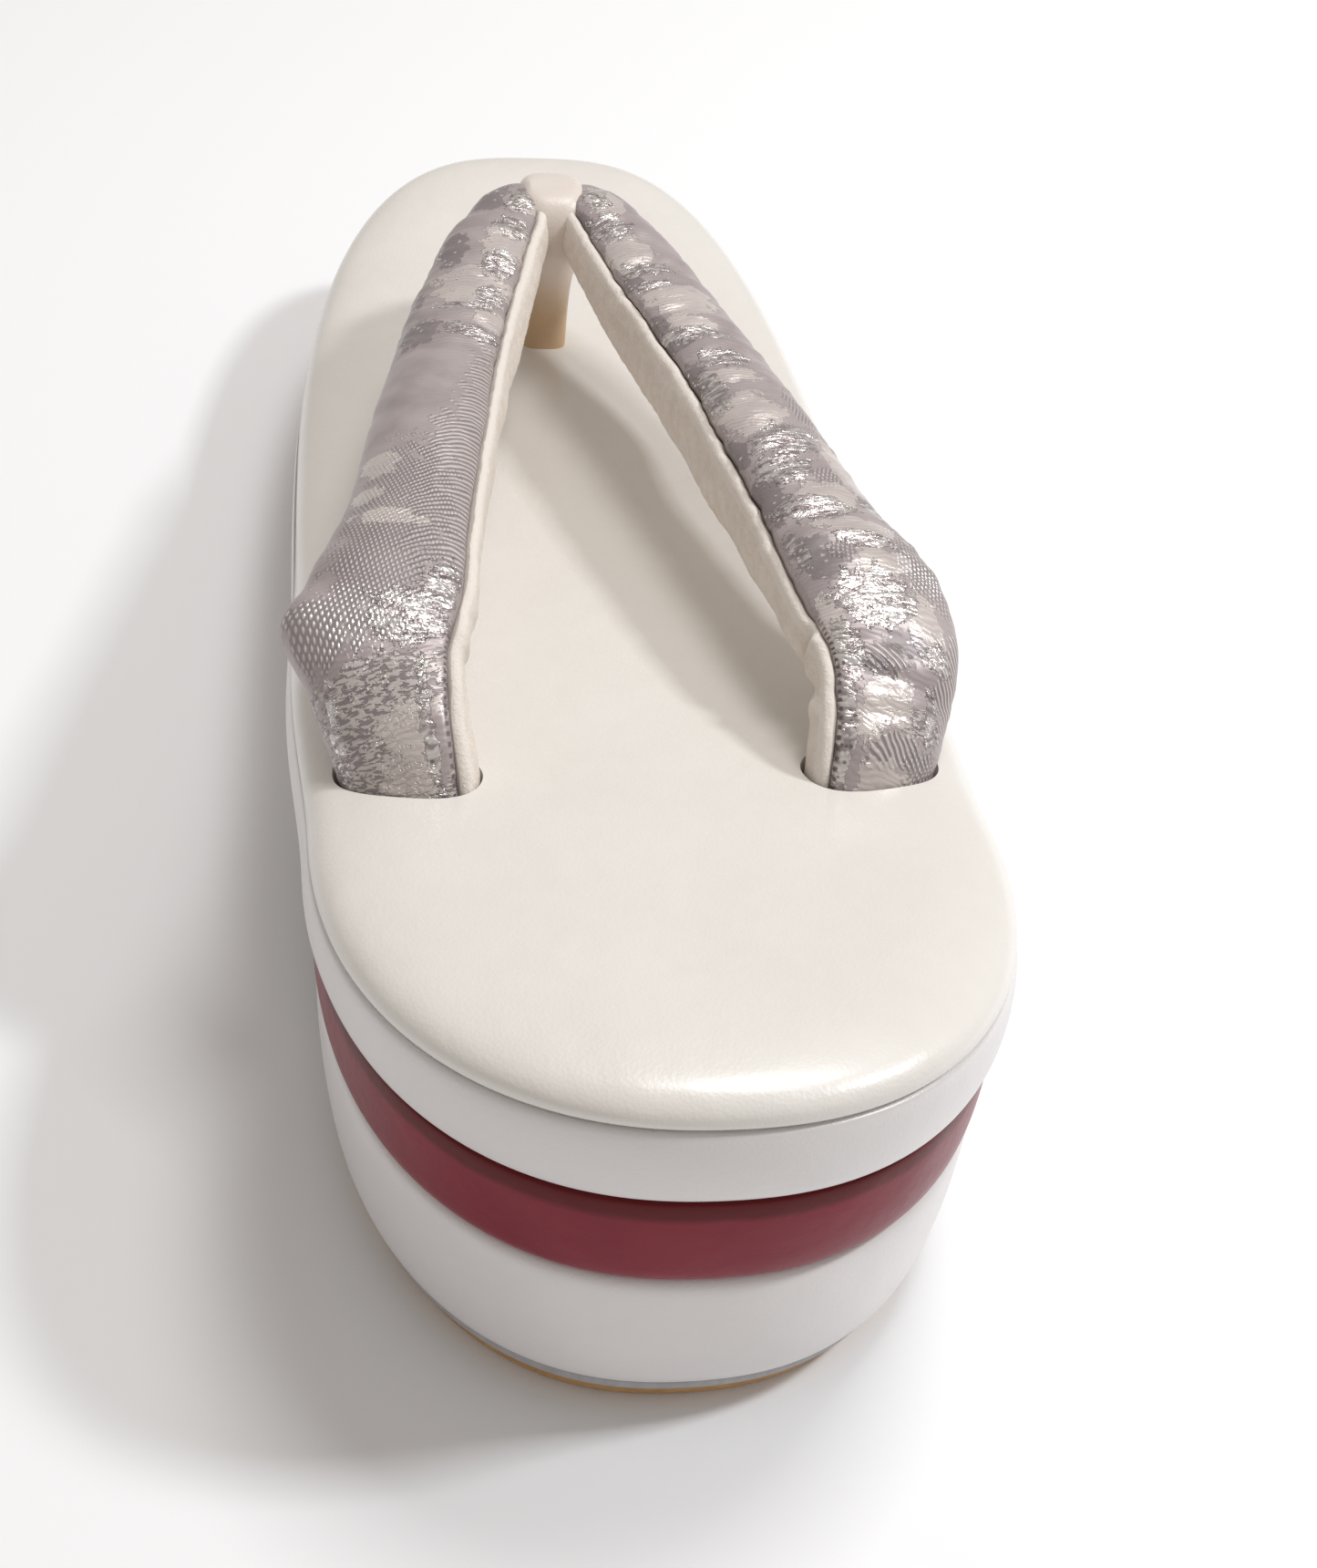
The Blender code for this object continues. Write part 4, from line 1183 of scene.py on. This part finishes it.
cameraView = {
    "place": (-0.0402, -0.2678, 0.2227),
    "forward": (0.14862, 0.74399, -0.65145),
    "roll": 0.1135,
    "lens": 56.0,
}
camData = bpy.data.cameras.new("camera")
cam = bpy.data.objects.new("camera", camData)
bpy.context.scene.collection.objects.link(cam)
forward = Vector(cameraView["forward"]).normalized()
right = forward.cross(Vector((0, 0, 1))).normalized()
up = right.cross(forward)
roll = cameraView["roll"]
rightRolled = right * math.cos(roll) + up * math.sin(roll)
upRolled = up * math.cos(roll) - right * math.sin(roll)
turned = Matrix((rightRolled, upRolled, -forward)).transposed()
cam.matrix_world = Matrix.Translation(cameraView["place"]) @ turned.to_4x4()
camData.sensor_fit = "VERTICAL"
camData.sensor_height = 36.0
camData.lens = cameraView["lens"]
camData.clip_start = 0.01
bpy.context.scene.camera = cam

clearSelection()
bpy.ops.mesh.primitive_plane_add(size=6.0, location=(0, 0, 0))
floor = bpy.context.object
floor.name = "floor"
floorLook, floorTree, floorShader = newLook("floor")
floorShader.inputs["Base Color"].default_value = colour(0.93, 0.94, 0.96)
floorShader.inputs["Roughness"].default_value = 0.6
floor.data.materials.append(floorLook)

studio = {
    "sky": 0.42,
    "skyTint": (1.0, 0.945, 0.885, 1.0),
    "lamps": [
        {"name": "keyLamp", "toward": (0.63, -0.06, 0.77), "far": 1.10, "size": 0.13, "power": 5.4,
         "tint": (0.965, 0.985, 1.0)},
        {"name": "topLamp", "toward": (0.24, 0.24, 0.94), "far": 0.95, "size": 0.30, "power": 3.6,
         "tint": (1.0, 0.99, 0.98)},
    ],
}
world = bpy.data.worlds.new("studio")
bpy.context.scene.world = world
world.use_nodes = True
world.node_tree.nodes["Background"].inputs[0].default_value = studio["skyTint"]
world.node_tree.nodes["Background"].inputs[1].default_value = studio["sky"]
for lamp in studio["lamps"]:
    light = bpy.data.lights.new(lamp["name"], "AREA")
    light.shape = "SQUARE"
    light.size = lamp["size"]
    light.energy = lamp["power"]
    light.color = lamp["tint"]
    stand = bpy.data.objects.new(lamp["name"], light)
    bpy.context.scene.collection.objects.link(stand)
    toward = Vector(lamp["toward"]).normalized()
    stand.location = toward * lamp["far"] + Vector((0, 0, 0.04))
    stand.rotation_euler = (-toward).to_track_quat("-Z", "Y").to_euler()
bpy.context.scene.view_settings.view_transform = "Standard"
